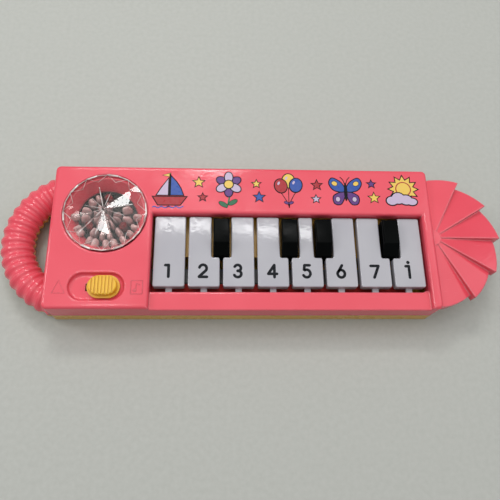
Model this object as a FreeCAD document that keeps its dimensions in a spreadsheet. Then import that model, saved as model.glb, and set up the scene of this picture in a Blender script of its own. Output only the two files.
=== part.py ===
import FreeCAD, Part
import math
import os
import re

import Sketcher

# Toy piano: a flat pink and yellow case with eight numbered keys, a faceted lamp, a ribbed carrying
# loop on the left and a pleated fan on the right. Origin under the middle of the object, +X to the
# fan, -Y to the player, +Z up. All lengths are millimetres.

Vector = FreeCAD.Vector
doc = FreeCAD.newDocument("toy_piano")

KEY_COUNT = 8
SHARP_AFTER = (2, 4, 5, 7)
FAN_PLEATS = 6
LENS_FACETS = 12
CIRCLES_PER_RIB = ((0.08, 0.0), (0.4, 1.0), (0.6, 1.0), (0.92, 0.0))
BRACKETS_AFTER = (2, 4, 6)
FRAME_SCREW_KEYS = (0, 2, 7)
CELL_COUNT = 2
LED_COUNT = 3
RESISTOR_COUNT = 4
GROOVE_COUNT = 7
SPRING_TURNS = 3
GRILLE_RINGS = 3
HOLES_PER_RING = 6
DRIVE_SHARE = 1.3
ARC_SHARE = 0.45
BLOB_PROFILE = ((1.0, 0.0), (0.8, 0.6), (0.45, 0.93))
DIFFUSER_PROFILE = ((1.0, 0.0), (1.0, 0.45), (0.7, 0.85))
SKETCH_START = 10.0

SIZES = (
    # Shells
    ("wall", 1.6),
    ("floor_thick", 1.6),
    ("body_height", 19.0),
    ("split_height", 7.3),
    ("corner_radius", 2.0),
    ("edge_radius", 1.3),
    ("rim_edge", 0.5),
    ("base_edge", 0.8),
    ("strip_depth", 7.3),
    ("strip_drop", 2.6),
    ("right_bar", 4.1),
    ("rim_thick", 1.2),
    ("front_rim_drop", 0.9),
    ("lip_thick", 1.2),
    ("lip_height", 1.8),
    ("lip_root", 2.0),
    ("lip_gap", 0.15),
    # Lamp
    ("lens_radius", 16.65),
    ("lens_gap", 0.3),
    ("lens_rise", 3.3),
    ("girdle_rise", 0.5),
    ("facet_ring", 0.79),
    ("seat_depth", 2.2),
    ("seat_width", 1.9),
    ("seat_gap", 0.05),
    ("lamp_left_margin", 4.7),
    ("lamp_right_margin", 2.2),
    ("lamp_rear_margin", 4.2),
    ("well_wall", 1.3),
    ("funnel_radius", 10.2),
    ("funnel_depth", 8.2),
    ("diffuser_radius", 5.0),
    ("diffuser_height", 2.6),
    ("led_radius", 1.5),
    ("led_tip_radius", 0.7),
    ("led_height", 4.6),
    ("led_ring", 7.4),
    # Mode switch
    ("recess_length", 21.4),
    ("recess_width", 10.9),
    ("recess_depth", 1.8),
    ("recess_fillet", 1.2),
    ("recess_left_margin", 9.45),
    ("recess_front_margin", 3.3),
    ("knob_length", 12.6),
    ("knob_width", 9.1),
    ("knob_flange", 1.0),
    ("knob_step", 0.85),
    ("knob_rise", 3.7),
    ("knob_lift", 0.3),
    ("knob_travel", 5.5),
    ("groove_width", 0.55),
    ("groove_pitch", 1.3),
    ("stem_length", 2.4),
    ("stem_width", 2.4),
    ("stem_play", 0.65),
    ("stem_gap", 0.3),
    ("socket_depth", 3.2),
    ("lever_length", 1.2),
    ("lever_width", 1.0),
    ("lever_gap", 0.1),
    ("switch_length", 14.0),
    ("switch_width", 6.4),
    ("switch_height", 4.6),
    ("switch_pocket", 1.8),
    # Keys
    ("key_width", 12.42),
    ("key_gap", 1.35),
    ("key_side_gap", 0.95),
    ("key_length", 29.65),
    ("key_front_gap", 2.15),
    ("key_rear_gap", 0.4),
    ("key_drop", 2.6),
    ("key_cap_height", 3.4),
    ("key_shell", 1.3),
    ("key_plate", 1.6),
    ("key_edge", 0.45),
    ("key_corner", 0.8),
    ("key_clear", 2.6),
    ("tongue_width", 5.0),
    ("tongue_thick", 2.0),
    ("tongue_gap", 0.4),
    ("plunger_inset", 7.25),
    ("plunger_size", 3.0),
    ("plunger_gap", 0.2),
    ("tab_width", 2.5),
    ("tab_reach", 3.2),
    ("tab_thick", 1.4),
    ("tab_gap", 0.3),
    ("sharp_slot_width", 8.0),
    ("sharp_slot_length", 17.5),
    ("sharp_width", 6.5),
    ("sharp_rise", 3.2),
    ("sharp_front_gap", 0.7),
    ("sharp_rear_gap", 1.9),
    ("sharp_slope", 4.8),
    ("sharp_edge", 0.5),
    ("peg_width", 3.0),
    ("peg_length", 8.0),
    ("peg_gap", 0.1),
    ("peg_top_wall", 2.4),
    # Hinge and frame
    ("hinge_inset", 3.1),
    ("hinge_drop", 3.4),
    ("rod_radius", 1.0),
    ("rod_gap", 0.04),
    ("barrel_radius", 2.2),
    ("bracket_width", 2.0),
    ("frame_thick", 1.4),
    ("frame_front_inset", 14.2),
    ("frame_side", 0.5),
    # Circuit board
    ("board_thick", 1.2),
    ("board_gap", 0.35),
    ("board_rear_reach", 3.3),
    ("strip_thick", 0.8),
    ("strip_width", 6.0),
    ("dome_radius", 3.0),
    ("dome_top_radius", 1.7),
    ("dome_height", 2.8),
    ("dome_wall", 0.8),
    ("chip_radius", 3.0),
    ("chip_height", 1.4),
    ("capacitor_radius", 2.5),
    ("capacitor_height", 5.0),
    ("transistor_width", 4.0),
    ("transistor_depth", 2.6),
    ("transistor_height", 4.2),
    ("resistor_length", 3.2),
    ("resistor_width", 1.6),
    ("resistor_height", 0.6),
    # Loudspeaker
    ("speaker_radius", 12.0),
    ("speaker_inset", 63.3),
    ("basket_height", 2.6),
    ("basket_wall", 0.8),
    ("magnet_radius", 6.0),
    ("magnet_height", 1.2),
    ("cone_inner_radius", 4.0),
    ("cone_rise", 0.7),
    ("cone_thick", 0.3),
    ("cone_lift", 0.4),
    ("speaker_lead", 4.5),
    ("speaker_gap", 0.25),
    ("speaker_ring", 1.2),
    ("grille_radius", 0.8),
    ("grille_pitch", 3.0),
    # Batteries
    ("cell_radius", 5.25),
    ("cell_length", 44.5),
    ("cell_gap", 0.25),
    ("cell_lift", 0.3),
    ("nub_radius", 1.9),
    ("nub_length", 1.1),
    ("bay_wall", 1.2),
    ("hinge_bay_gap", 0.45),
    ("plate_thick", 0.5),
    ("contact_width", 7.9),
    ("spring_space", 5.0),
    ("spring_radius", 3.2),
    ("spring_wire", 0.3),
    ("tag_width", 2.5),
    ("tag_reach", 1.6),
    ("tag_thick", 0.5),
    ("tag_lift", 2.4),
    ("tag_gap", 0.3),
    ("door_thick", 1.2),
    ("door_sink", 0.3),
    ("door_gap", 0.25),
    ("door_ledge", 0.6),
    ("door_tail", 4.0),
    ("lug_length", 8.0),
    ("lug_depth", 8.0),
    ("door_tongue_width", 7.0),
    ("door_tongue_reach", 2.0),
    ("door_tongue_thick", 1.0),
    ("door_tongue_lift", 0.3),
    ("door_boss_height", 1.6),
    # Fasteners
    ("screw_radius", 1.3),
    ("screw_head_radius", 2.5),
    ("screw_head_height", 1.8),
    ("screw_seat", 4.0),
    ("screw_tip_gap", 0.8),
    ("boss_wall", 0.85),
    ("small_radius", 0.9),
    ("small_head_radius", 1.7),
    ("small_head_height", 1.0),
    ("small_length", 4.0),
    ("door_screw_length", 3.0),
    ("screw_gap", 0.25),
    ("thread_bite", 0.12),
    ("drive_width", 0.5),
    # Fan
    ("fan_reach", 27.9),
    ("fan_shoulder", 1.0),
    ("fan_notch", 1.9),
    ("fan_drop", 1.4),
    ("fan_valley", 2.8),
    ("fan_ridge", 0.2),
    ("fan_rim", 2.4),
    ("fan_shell", 1.6),
    ("hub_radius", 3.2),
    ("hub_rise", 0.05),
    ("dish_inset", 0.8),
    ("dish_foot_radius", 9.0),
    ("dish_foot_height", 1.5),
    # Carrying loop
    ("handle_reach", 21.85),
    ("handle_tube", 6.75),
    ("handle_bend", 25.0),
    ("handle_bore", 4.7),
    ("loop_inset", 0.2),
    ("rib_depth", 0.7),
    ("rib_pitch", 3.93),
    # Wires
    ("wire_radius", 0.35),
)

PLACES = (
    ("key_pitch", "key_width + key_gap"),
    ("key_block", f"{KEY_COUNT} * key_pitch - key_gap"),
    ("lamp_panel", "lamp_left_margin + 2 * lens_radius + lamp_right_margin"),
    ("opening_length", "key_block + 2 * key_side_gap"),
    ("opening_depth", "key_rear_gap + key_length + key_front_gap"),
    ("bay_width", "2 * (cell_radius + cell_gap)"),
    ("rear_band", "hinge_inset + barrel_radius + hinge_bay_gap + 2 * bay_wall + bay_width + lip_gap + wall"),
    ("body_length", "lamp_panel + opening_length + right_bar"),
    ("body_depth", "rear_band + opening_depth + strip_depth"),
    ("fan_breadth", "body_depth / 2 - fan_shoulder"),
    ("overall_length", "handle_reach + body_length + fan_reach"),
    ("body_left", "handle_reach - overall_length / 2"),
    ("body_right", "body_left + body_length"),
    ("front_y", "-body_depth / 2"),
    ("rear_y", "body_depth / 2"),
    ("opening_left", "body_left + lamp_panel"),
    ("opening_front", "front_y + strip_depth"),
    ("opening_rear", "opening_front + opening_depth"),
    ("strip_top", "body_height - strip_drop"),
    ("strip_under", "strip_top - wall"),
    ("panel_under", "body_height - wall"),
    ("front_rim_z", "strip_under - front_rim_drop"),
    ("key_left", "opening_left + key_side_gap"),
    ("key_right", "key_left + key_block"),
    ("key_front", "opening_front + key_front_gap"),
    ("key_rear", "key_front + key_length"),
    ("key_top", "body_height - key_drop"),
    ("key_bottom", "key_top - key_cap_height"),
    ("tongue_z", "strip_under - tongue_gap - tongue_thick"),
    ("tab_z", "front_rim_z - tab_gap - tab_thick"),
    ("hinge_y", "opening_rear + hinge_inset"),
    ("hinge_z", "key_top - hinge_drop"),
    ("sharp_front", "key_rear - sharp_slot_length + sharp_front_gap"),
    ("sharp_rear", "key_rear - sharp_rear_gap"),
    ("sharp_top", "key_top + sharp_rise"),
    ("slot_bite", "(sharp_slot_width - key_gap) / 2"),
    ("frame_top", "key_bottom - key_clear"),
    ("frame_z", "frame_top - frame_thick"),
    ("frame_front", "key_front + frame_front_inset"),
    ("lamp_x", "body_left + lamp_left_margin + lens_radius"),
    ("lamp_y", "rear_y - lamp_rear_margin - lens_radius"),
    ("seat_z", "body_height - seat_depth"),
    ("funnel_z", "body_height - funnel_depth"),
    ("well_radius", "lens_radius + lens_gap"),
    ("recess_x", "body_left + recess_left_margin + recess_length / 2"),
    ("recess_y", "front_y + recess_front_margin + recess_width / 2"),
    ("recess_z", "body_height - recess_depth"),
    ("knob_x", "recess_x + knob_travel / 2"),
    ("knob_z", "recess_z + knob_lift"),
    ("basket_top", "floor_thick + basket_height"),
    ("board_z", "basket_top + board_gap"),
    ("board_top", "board_z + board_thick"),
    ("stem_z", "board_top + switch_height + stem_play"),
    ("screw_length", "strip_under - screw_tip_gap - screw_seat"),
    ("boss_radius", "screw_head_radius + screw_gap + boss_wall"),
    ("boss_inset", "wall / 2 + boss_radius"),
    ("board_left", "body_left + boss_inset + boss_radius + board_gap"),
    ("board_right", "body_right - boss_inset - boss_radius - board_gap"),
    ("board_front", "front_y + wall + lip_gap + lip_thick + board_gap"),
    ("plunger_y", "key_front + plunger_inset"),
    ("board_rear", "plunger_y + board_rear_reach"),
    ("dome_z", "board_top + strip_thick"),
    ("plunger_z", "dome_z + dome_height + plunger_gap"),
    ("bay_rear", "rear_y - wall - lip_gap - bay_wall"),
    ("bay_front", "bay_rear - bay_width"),
    ("bay_length", f"{CELL_COUNT} * cell_length + plate_thick + spring_space"),
    ("bay_left", "lamp_x + well_radius + well_wall + lip_gap + bay_wall"),
    ("bay_right", "bay_left + bay_length"),
    ("cell_y", "(bay_front + bay_rear) / 2"),
    ("cell_z", "floor_thick + cell_lift + cell_radius"),
    ("tag_z", "cell_z + tag_lift"),
    ("bay_top", "cell_z + cell_radius + cell_gap"),
    ("door_left", "bay_left - bay_wall - door_tail"),
    ("door_right", "bay_right + door_ledge"),
    ("door_front", "bay_front - door_ledge"),
    ("door_rear", "bay_rear + door_ledge"),
    ("lug_left", "door_right - lug_length"),
    ("lug_front", "door_front - lug_depth"),
    ("door_screw_x", "door_right - lug_length / 2"),
    ("door_screw_y", "door_front - lug_depth / 2"),
    ("door_top", "door_sink + door_thick"),
    ("door_boss_z", "door_top + door_boss_height + door_gap"),
    ("speaker_x", "key_left + speaker_inset"),
    ("speaker_y", "bay_front - bay_wall - speaker_gap - speaker_radius"),
    ("fan_apex", "body_height - fan_drop"),
    ("fan_under", "fan_apex - fan_valley - fan_rim"),
    ("dish_radius", "fan_reach - fan_notch - dish_inset"),
    ("handle_x", "body_left - handle_reach + handle_bend + handle_tube"),
)

SIZE_NAMES = {alias for alias, size in SIZES}
PLACE_NAMES = {alias for alias, formula in PLACES}


def qualified(formula):
    """Write each named size or place in a formula with the sheet that holds it."""
    def with_sheet(match):
        word = match.group(0)
        if word in SIZE_NAMES:
            return "Sizes." + word
        if word in PLACE_NAMES:
            return "Places." + word
        return word
    return re.sub(r"[a-z][a-z_0-9]*", with_sheet, formula)


size_sheet = doc.addObject("Spreadsheet::Sheet", "Sizes")
for row, (alias, size) in enumerate(SIZES, start=1):
    size_sheet.set(f"A{row}", alias)
    size_sheet.set(f"B{row}", str(size))
    size_sheet.setAlias(f"B{row}", alias)

place_sheet = doc.addObject("Spreadsheet::Sheet", "Places")
for row, (alias, formula) in enumerate(PLACES, start=1):
    place_sheet.set(f"A{row}", alias)
    place_sheet.setAlias(f"B{row}", alias)
    place_sheet.set(f"B{row}", "=" + qualified(formula))
doc.recompute()


def value(name):
    """The present number of a named size or place."""
    sheet = size_sheet if name in SIZE_NAMES else place_sheet
    return float(sheet.get(name))


def bind(thing, prop, formula):
    thing.setExpression(prop, qualified(formula))


def put_at(thing, x, y, z):
    for axis, formula in zip("xyz", (x, y, z)):
        bind(thing, "Placement.Base." + axis, formula)


def box(name, corner, size):
    """A block from its lowest corner and its length, width and height."""
    block = doc.addObject("Part::Box", name)
    for prop, formula in zip(("Length", "Width", "Height"), size):
        bind(block, prop, formula)
    put_at(block, *corner)
    return block


def centred_box(name, x, y, z, length, width, height):
    """A block that stands at height z, centred on x and y."""
    return box(name, (f"{x} - ({length}) / 2", f"{y} - ({width}) / 2", z), (length, width, height))


def rod(name, base, radius, length, along="z"):
    """A round bar that starts at its base point."""
    bar = doc.addObject("Part::Cylinder", name)
    bind(bar, "Radius", radius)
    bind(bar, "Height", length)
    if along == "x":
        bar.Placement.Rotation = FreeCAD.Rotation(Vector(0, 1, 0), 90)
    put_at(bar, *base)
    return bar


def cone(name, base, low_radius, high_radius, height):
    frustum = doc.addObject("Part::Cone", name)
    bind(frustum, "Radius1", low_radius)
    bind(frustum, "Radius2", high_radius)
    bind(frustum, "Height", height)
    put_at(frustum, *base)
    return frustum


def fuse(name, pieces):
    joined = doc.addObject("Part::MultiFuse", name)
    joined.Shapes = pieces
    joined.Refine = True
    return joined


def cut(name, base, tools):
    result = doc.addObject("Part::Cut", name)
    result.Base = base
    result.Tool = tools[0] if len(tools) == 1 else fuse(name + "_tools", tools)
    result.Refine = True
    return result


def group(name, pieces):
    """Separate solids that share one node."""
    together = doc.addObject("Part::Compound", name)
    together.Links = pieces
    return together


def shaped(name, shape):
    """A piece whose form comes from Part's own functions."""
    feature = doc.addObject("Part::Feature", name)
    feature.Shape = shape
    return feature


def obround(name, x, y, z, length, width, height):
    """A block with half-round ends, long along X."""
    straight = f"({length}) - ({width})"
    middle = centred_box(name + "_middle", x, y, z, straight, width, height)
    left = rod(name + "_left", (f"{x} - ({straight}) / 2", y, z), f"({width}) / 2", height)
    right = rod(name + "_right", (f"{x} + ({straight}) / 2", y, z), f"({width}) / 2", height)
    return fuse(name, [middle, left, right])


def rounded(name, base, radius_name, chosen):
    """Round the edges of a piece that the test picks."""
    doc.recompute()
    radius = value(radius_name)
    numbers = [number for number, edge in enumerate(base.Shape.Edges, start=1) if chosen(edge)]
    fillet = doc.addObject("Part::Fillet", name)
    fillet.Base = base
    fillet.Edges = [(number, radius, radius) for number in numbers]
    return fillet


TOUCH = 1e-6


def upright(edge):
    first, last = edge.Vertexes[0].Point, edge.Vertexes[-1].Point
    return abs(first.x - last.x) < TOUCH and abs(first.y - last.y) < TOUCH and abs(first.z - last.z) > TOUCH


def at_height(edge, height):
    return abs(edge.BoundBox.ZMin - height) < TOUCH and abs(edge.BoundBox.ZMax - height) < TOUCH


def origin_plane(body, role):
    return next(plane for plane in body.Origin.OriginFeatures if plane.Role == role)


def outline(body, name, role, points):
    """A closed sketch whose corners are bound to formulas."""
    sketch = body.newObject("Sketcher::SketchObject", name)
    sketch.AttachmentSupport = [(origin_plane(body, role), "")]
    sketch.MapMode = "FlatFace"
    count = len(points)
    turn = 2 * math.pi / count
    starts = [Vector(math.cos(i * turn), math.sin(i * turn), 0) * SKETCH_START for i in range(count)]
    for i in range(count):
        sketch.addGeometry(Part.LineSegment(starts[i], starts[(i + 1) % count]), False)
    for i in range(count):
        sketch.addConstraint(Sketcher.Constraint("Coincident", i, 2, (i + 1) % count, 1))
    for i, point in enumerate(points):
        for kind, formula, start in zip(("DistanceX", "DistanceY"), point, (starts[i].x, starts[i].y)):
            number = sketch.addConstraint(Sketcher.Constraint(kind, i, 1, start))
            sketch.setExpression(f"Constraints[{number}]", qualified(formula))
    return sketch


def turned(name, profile, x, y):
    """A round piece turned about an upright axis at x and y, from a profile of radius and height."""
    body = doc.addObject("PartDesign::Body", name)
    sketch = outline(body, name + "_profile", "XZ_Plane", profile)
    turn = body.newObject("PartDesign::Revolution", name + "_turn")
    turn.Profile = sketch
    turn.ReferenceAxis = (sketch, ["V_Axis"])
    turn.Angle = 360
    put_at(body, x, y, "0")
    return body


def plate(name, corners, z, thickness):
    """A flat piece padded up from an outline in X and Y."""
    body = doc.addObject("PartDesign::Body", name)
    sketch = outline(body, name + "_outline", "XY_Plane", corners)
    pad = body.newObject("PartDesign::Pad", name + "_pad")
    pad.Profile = sketch
    bind(pad, "Length", thickness)
    put_at(body, "0", "0", z)
    return body


def screw(name, x, y, seat, radius, head_radius, head_height, length, up):
    """A pan-head screw with its head's bearing face at the seat; its point is up or down."""
    if up:
        head = rod(name + "_head", (x, y, f"{seat} - {head_height}"), head_radius, head_height)
        shank = rod(name + "_shank", (x, y, seat), radius, length)
        drive_z = f"{seat} - {head_height}"
    else:
        head = rod(name + "_head", (x, y, seat), head_radius, head_height)
        shank = rod(name + "_shank", (x, y, f"{seat} - {length}"), radius, length)
        drive_z = f"{seat} + {head_height} / 2"
    depth = f"{head_height} / 2"
    reach = f"{DRIVE_SHARE} * {head_radius}"
    slots = [centred_box(name + "_drive_a", x, y, drive_z, reach, "drive_width", depth),
             centred_box(name + "_drive_b", x, y, drive_z, "drive_width", reach, depth)]
    return cut(name, fuse(name + "_blank", [head, shank]), slots)


def key_centre(index):
    return f"(key_left + {index} * key_pitch + key_width / 2)"


def gap_centre(keys_before):
    return f"(key_left + {keys_before} * key_pitch - key_gap / 2)"


# Places of the fasteners
CASE_SCREWS = (
    ("(body_left + boss_inset)", "(front_y + boss_inset)"),
    ("(body_left + boss_inset)", "(rear_y - boss_inset)"),
    ("(body_right - boss_inset)", "(front_y + boss_inset)"),
    ("(body_right - boss_inset)", "(rear_y - boss_inset)"),
)
BOSS_CEILINGS = ("panel_under", "panel_under", "strip_under", "panel_under")
BOARD_SCREWS = (
    ("(board_left + 2 * small_head_radius)", "(board_rear - 2 * small_head_radius)"),
    (gap_centre(3), "(board_front + 2 * small_head_radius)"),
    ("(board_right - 2 * small_head_radius)", "(board_front + 2 * small_head_radius)"),
)
FRAME_SCREW_Y = "(frame_front + 4 * small_head_radius)"
FRAME_SCREWS = tuple((key_centre(index), FRAME_SCREW_Y) for index in FRAME_SCREW_KEYS)
SMALL_PILOT = "small_radius - thread_bite"
SMALL_HOLE = "small_radius + screw_gap"


def fan_point(angle, radius, height):
    """A point of the fan, spread from a half circle to its breadth along the case's end."""
    turn = math.radians(angle)
    spread = value("fan_breadth") / value("fan_reach")
    return Vector(value("body_right") + radius * math.cos(turn), spread * radius * math.sin(turn), height)


def pleat_outline(start_angle, notch_radius, tip_radius):
    """One pleat in plan: two straight sides from the hub and a bowed rim that grows towards its tip."""
    step = 180.0 / FAN_PLEATS
    centre = fan_point(start_angle, 0, 0)
    notch = fan_point(start_angle, notch_radius, 0)
    tip = fan_point(start_angle - step, tip_radius, 0)
    crown = fan_point(start_angle - step / 2, (notch_radius + tip_radius) / 2, 0)
    rim = Part.Arc(notch, crown, tip).toShape()
    sides = [Part.makeLine(centre, notch), Part.makeLine(tip, centre)]
    return Part.Face(Part.Wire([sides[0], rim, sides[1]]))


def below_plane(points, reach):
    """A deep block whose upper face is the plane through three points."""
    normal = (points[1] - points[0]).cross(points[2] - points[0])
    if normal.z < 0:
        normal = normal * -1
    block = Part.makeBox(2 * reach, 2 * reach, reach, Vector(-reach, -reach, -reach))
    block.Placement = FreeCAD.Placement(points[0], FreeCAD.Rotation(Vector(0, 0, 1), normal))
    return block


def pleat_plane(start_angle, lower):
    """The sloping top of a pleat: low along its first side, high along its last, level at the hub."""
    step = 180.0 / FAN_PLEATS
    reach, apex = value("fan_reach"), value("fan_apex") - lower
    return (fan_point(start_angle, 0, apex),
            fan_point(start_angle, reach, apex - value("fan_valley")),
            fan_point(start_angle - step, reach, apex - value("fan_ridge")))


def pleated_fan():
    """The fan's shell: stepped pleats round a small hub, rooted in the case's end, open underneath."""
    step = 180.0 / FAN_PLEATS
    reach, shell = value("fan_reach"), value("fan_shell")
    under, top = value("fan_under"), value("body_height")
    tip, notch = reach, reach - value("fan_notch")
    solids = []
    hollows = []
    for index in range(FAN_PLEATS):
        angle = 90.0 - index * step
        prism = pleat_outline(angle, notch, tip).extrude(Vector(0, 0, top - under))
        prism.translate(Vector(0, 0, under))
        solids.append(prism.common(below_plane(pleat_plane(angle, 0.0), 4 * reach)))
        inner = pleat_outline(angle, notch - shell, tip - 2 * shell).extrude(Vector(0, 0, top))
        step_wall = Part.makeBox(reach, 2 * shell, 2 * top, Vector(0, -shell, -top))
        last_side = fan_point(angle - step, reach, 0) - fan_point(angle, 0, 0)
        step_wall.rotate(Vector(0, 0, 0), Vector(0, 0, 1), math.degrees(math.atan2(last_side.y, last_side.x)))
        step_wall.translate(Vector(value("body_right"), 0, 0))
        hub_wall = Part.makeCylinder(value("hub_radius") + shell, 3 * top,
                                     Vector(value("body_right"), 0, -top))
        hollow = inner.common(below_plane(pleat_plane(angle, shell), 4 * reach)).cut(step_wall).cut(hub_wall)
        hollows.append(hollow)
    root = value("wall") / 2
    for angle, end in ((90.0, fan_point(90.0, notch, under)), (step - 90.0, fan_point(-90.0, tip, under))):
        block = Part.makeBox(root, abs(end.y), top - under, Vector(end.x - root, min(end.y, 0), under))
        solids.append(block.common(below_plane(pleat_plane(angle, 0.0), 4 * reach)))
    hub = Part.makeCylinder(value("hub_radius"), value("fan_apex") + value("hub_rise") - under,
                            Vector(value("body_right"), 0, under), Vector(0, 0, 1), 180)
    hub.rotate(Vector(value("body_right"), 0, 0), Vector(0, 0, 1), -90)
    fan = solids[0].multiFuse(solids[1:] + [hub])
    return fan.cut(hollows)


def ribbed_loop():
    """The whole carrying loop: a ribbed tube bent round the case's left end, cut off inside its wall
    and held inside the case's front and rear."""
    bend, tube, bore = value("handle_bend"), value("handle_tube"), value("handle_bore")
    depth, left, wall = value("rib_depth"), value("body_left"), value("wall")
    centre = Vector(value("handle_x"), 0, value("split_height"))
    half_arc = math.acos((centre.x - left - 2 * wall) / (bend + tube))
    pitch_angle = value("rib_pitch") / bend
    ribs = 2 * math.ceil(half_arc / pitch_angle) + 1
    start = math.pi - ribs * pitch_angle / 2
    rings = []
    for rib in range(ribs):
        for phase, height in CIRCLES_PER_RIB:
            angle = start + (rib + phase) * pitch_angle
            outward = Vector(math.cos(angle), math.sin(angle), 0)
            along = Vector(-math.sin(angle), math.cos(angle), 0)
            ring = Part.Circle(centre + outward * bend, along, tube - depth * (1 - height))
            ring.XAxis = Vector(0, 0, 1)
            rings.append(Part.Wire([ring.toShape()]))
    loop = Part.makeLoft(rings, True, True)
    side = 4 * bend
    flank = value("rear_y") - value("loop_inset")
    outside = Part.makeBox(side, 2 * flank, side, Vector(left + wall / 2 - side, -flank, -side / 2))
    inside = Part.makeBox(side, side, side, Vector(left - wall / 2 - side, -side / 2, -side / 2))
    hollow = Part.makeTorus(bend, bore, centre).common(inside)
    return loop.common(outside).cut(hollow)


def half_of_loop(name, upper):
    """One moulded half of the loop, above or below the parting line."""
    reach = 4 * value("handle_bend")
    base = value("split_height") if upper else value("split_height") - reach
    half = Part.makeBox(2 * reach, 2 * reach, reach, Vector(value("handle_x") - reach, -reach, base))
    return shaped(name, ribbed_loop().common(half))


def fan_dish():
    """The lower cover of the fan: half a shallow cone that tapers in and down from under the rim."""
    shell = value("fan_shell")
    top, foot = value("fan_under"), value("dish_foot_height")
    rim, foot_radius = value("dish_radius"), value("dish_foot_radius")
    corners = [Vector(0, 0, foot), Vector(foot_radius, 0, foot), Vector(rim, 0, top),
               Vector(rim - 2 * shell, 0, top), Vector(foot_radius - shell / 2, 0, foot + shell),
               Vector(0, 0, foot + shell)]
    profile = Part.Face(Part.makePolygon(corners + corners[:1]))
    dish = profile.revolve(Vector(0, 0, 0), Vector(0, 0, 1), 180)
    dish.rotate(Vector(0, 0, 0), Vector(0, 0, 1), -90)
    dish.translate(Vector(value("body_right"), 0, 0))
    return dish


# Top housing: pink upper shell with the panel, the key opening, the lamp well and the switch recess
top_block = box("top_block", ("body_left", "front_y", "split_height"),
                ("body_length", "body_depth", "body_height - split_height"))
top_corners = rounded("top_corners", top_block, "corner_radius", upright)
front_step = box("front_step", ("opening_left", "front_y - wall", "strip_top"),
                 ("opening_length", "strip_depth + wall", "strip_drop + wall"))
key_opening = box("key_opening", ("opening_left", "opening_front", "split_height"),
                  ("opening_length", "opening_depth", "body_height"))
top_stepped = cut("top_stepped", top_corners, [front_step, key_opening])
top_outside = rounded("top_outside", top_stepped, "edge_radius",
                      lambda edge: at_height(edge, value("body_height")))

low_cavity = box("low_cavity", ("body_left + wall", "front_y + wall", "split_height - wall"),
                 ("body_length - 2 * wall", "body_depth - 2 * wall", "strip_under - split_height + wall"))
lamp_cavity = box("lamp_cavity", ("body_left + wall", "front_y + wall", "split_height"),
                  ("lamp_panel - wall - rim_thick", "body_depth - 2 * wall", "panel_under - split_height"))
rear_cavity = box("rear_cavity", ("body_left + wall", "opening_rear + rim_thick", "split_height"),
                  ("body_length - 2 * wall", "rear_band - rim_thick - wall", "panel_under - split_height"))
top_shell = cut("top_shell", top_outside, [low_cavity, lamp_cavity, rear_cavity])

front_rim = box("front_rim", ("opening_left", "opening_front - rim_thick", "front_rim_z"),
                ("opening_length", "rim_thick", "front_rim_drop + wall / 2"))
well_skirt = rod("well_skirt", ("lamp_x", "lamp_y", "seat_z - well_wall"), "well_radius + well_wall",
                 "seat_depth + well_wall - wall / 2")
well_funnel = cone("well_funnel", ("lamp_x", "lamp_y", "funnel_z"), "funnel_radius + 2 * well_wall",
                   "well_radius + well_wall", "seat_z - well_wall - funnel_z")
recess_tub = obround("recess_tub", "recess_x", "recess_y", "recess_z - wall", "recess_length + 2 * wall",
                     "recess_width + 2 * wall", "recess_depth")
top_bosses = []
for number, (x, y) in enumerate(CASE_SCREWS):
    top_bosses.append(rod(f"top_boss_{number}", (x, y, "split_height"), "boss_radius",
                          f"{BOSS_CEILINGS[number]} - split_height + wall / 2"))
upper_loop = half_of_loop("upper_loop", True)
fan = shaped("fan", pleated_fan())
top_solid = fuse("top_solid", [top_shell, front_rim, well_skirt, well_funnel, recess_tub, upper_loop, fan]
                 + top_bosses)

lens_bore = rod("lens_bore", ("lamp_x", "lamp_y", "seat_z"), "well_radius", "2 * seat_depth")
funnel_bore = cone("funnel_bore", ("lamp_x", "lamp_y", "funnel_z - wall"), "funnel_radius",
                   "well_radius - seat_width", "seat_z - funnel_z + wall")
seat_bore = rod("seat_bore", ("lamp_x", "lamp_y", "seat_z"), "well_radius - seat_width", "wall")
recess_cut = obround("recess_cut", "recess_x", "recess_y", "recess_z", "recess_length", "recess_width",
                     "2 * recess_depth")
recess_soft = rounded("recess_soft", recess_cut, "recess_fillet",
                      lambda edge: at_height(edge, value("recess_z")))
recess_slot = centred_box("recess_slot", "recess_x", "recess_y", "recess_z - 2 * wall",
                          "stem_length + knob_travel + 2 * stem_gap", "stem_width + 2 * stem_gap", "4 * wall")
top_pilots = [rod(f"top_pilot_{number}", (x, y, "split_height - wall"), "screw_radius - thread_bite",
                  "screw_seat + screw_length - split_height + 2 * wall")
              for number, (x, y) in enumerate(CASE_SCREWS)]
top_cut = cut("top_cut", top_solid,
              [lens_bore, funnel_bore, seat_bore, recess_soft, recess_slot] + top_pilots)


def panel_rim(edge):
    """The rims of the lamp well and the recess, and the long edges of the front strip."""
    middle = edge.BoundBox.Center
    beside_keys = middle.x > value("opening_left")
    if beside_keys:
        long_edge = edge.BoundBox.XLength > value("opening_length") / 2
        return long_edge and at_height(edge, value("strip_top"))
    inside = value("body_left") + value("edge_radius") + TOUCH < edge.BoundBox.XMin
    inside = inside and edge.BoundBox.XMax < value("opening_left") - value("edge_radius") - TOUCH
    inside = inside and abs(middle.y) < value("rear_y") - value("wall")
    return inside and at_height(edge, value("body_height"))


top_housing = rounded("top_housing", top_cut, "rim_edge", panel_rim)

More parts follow.
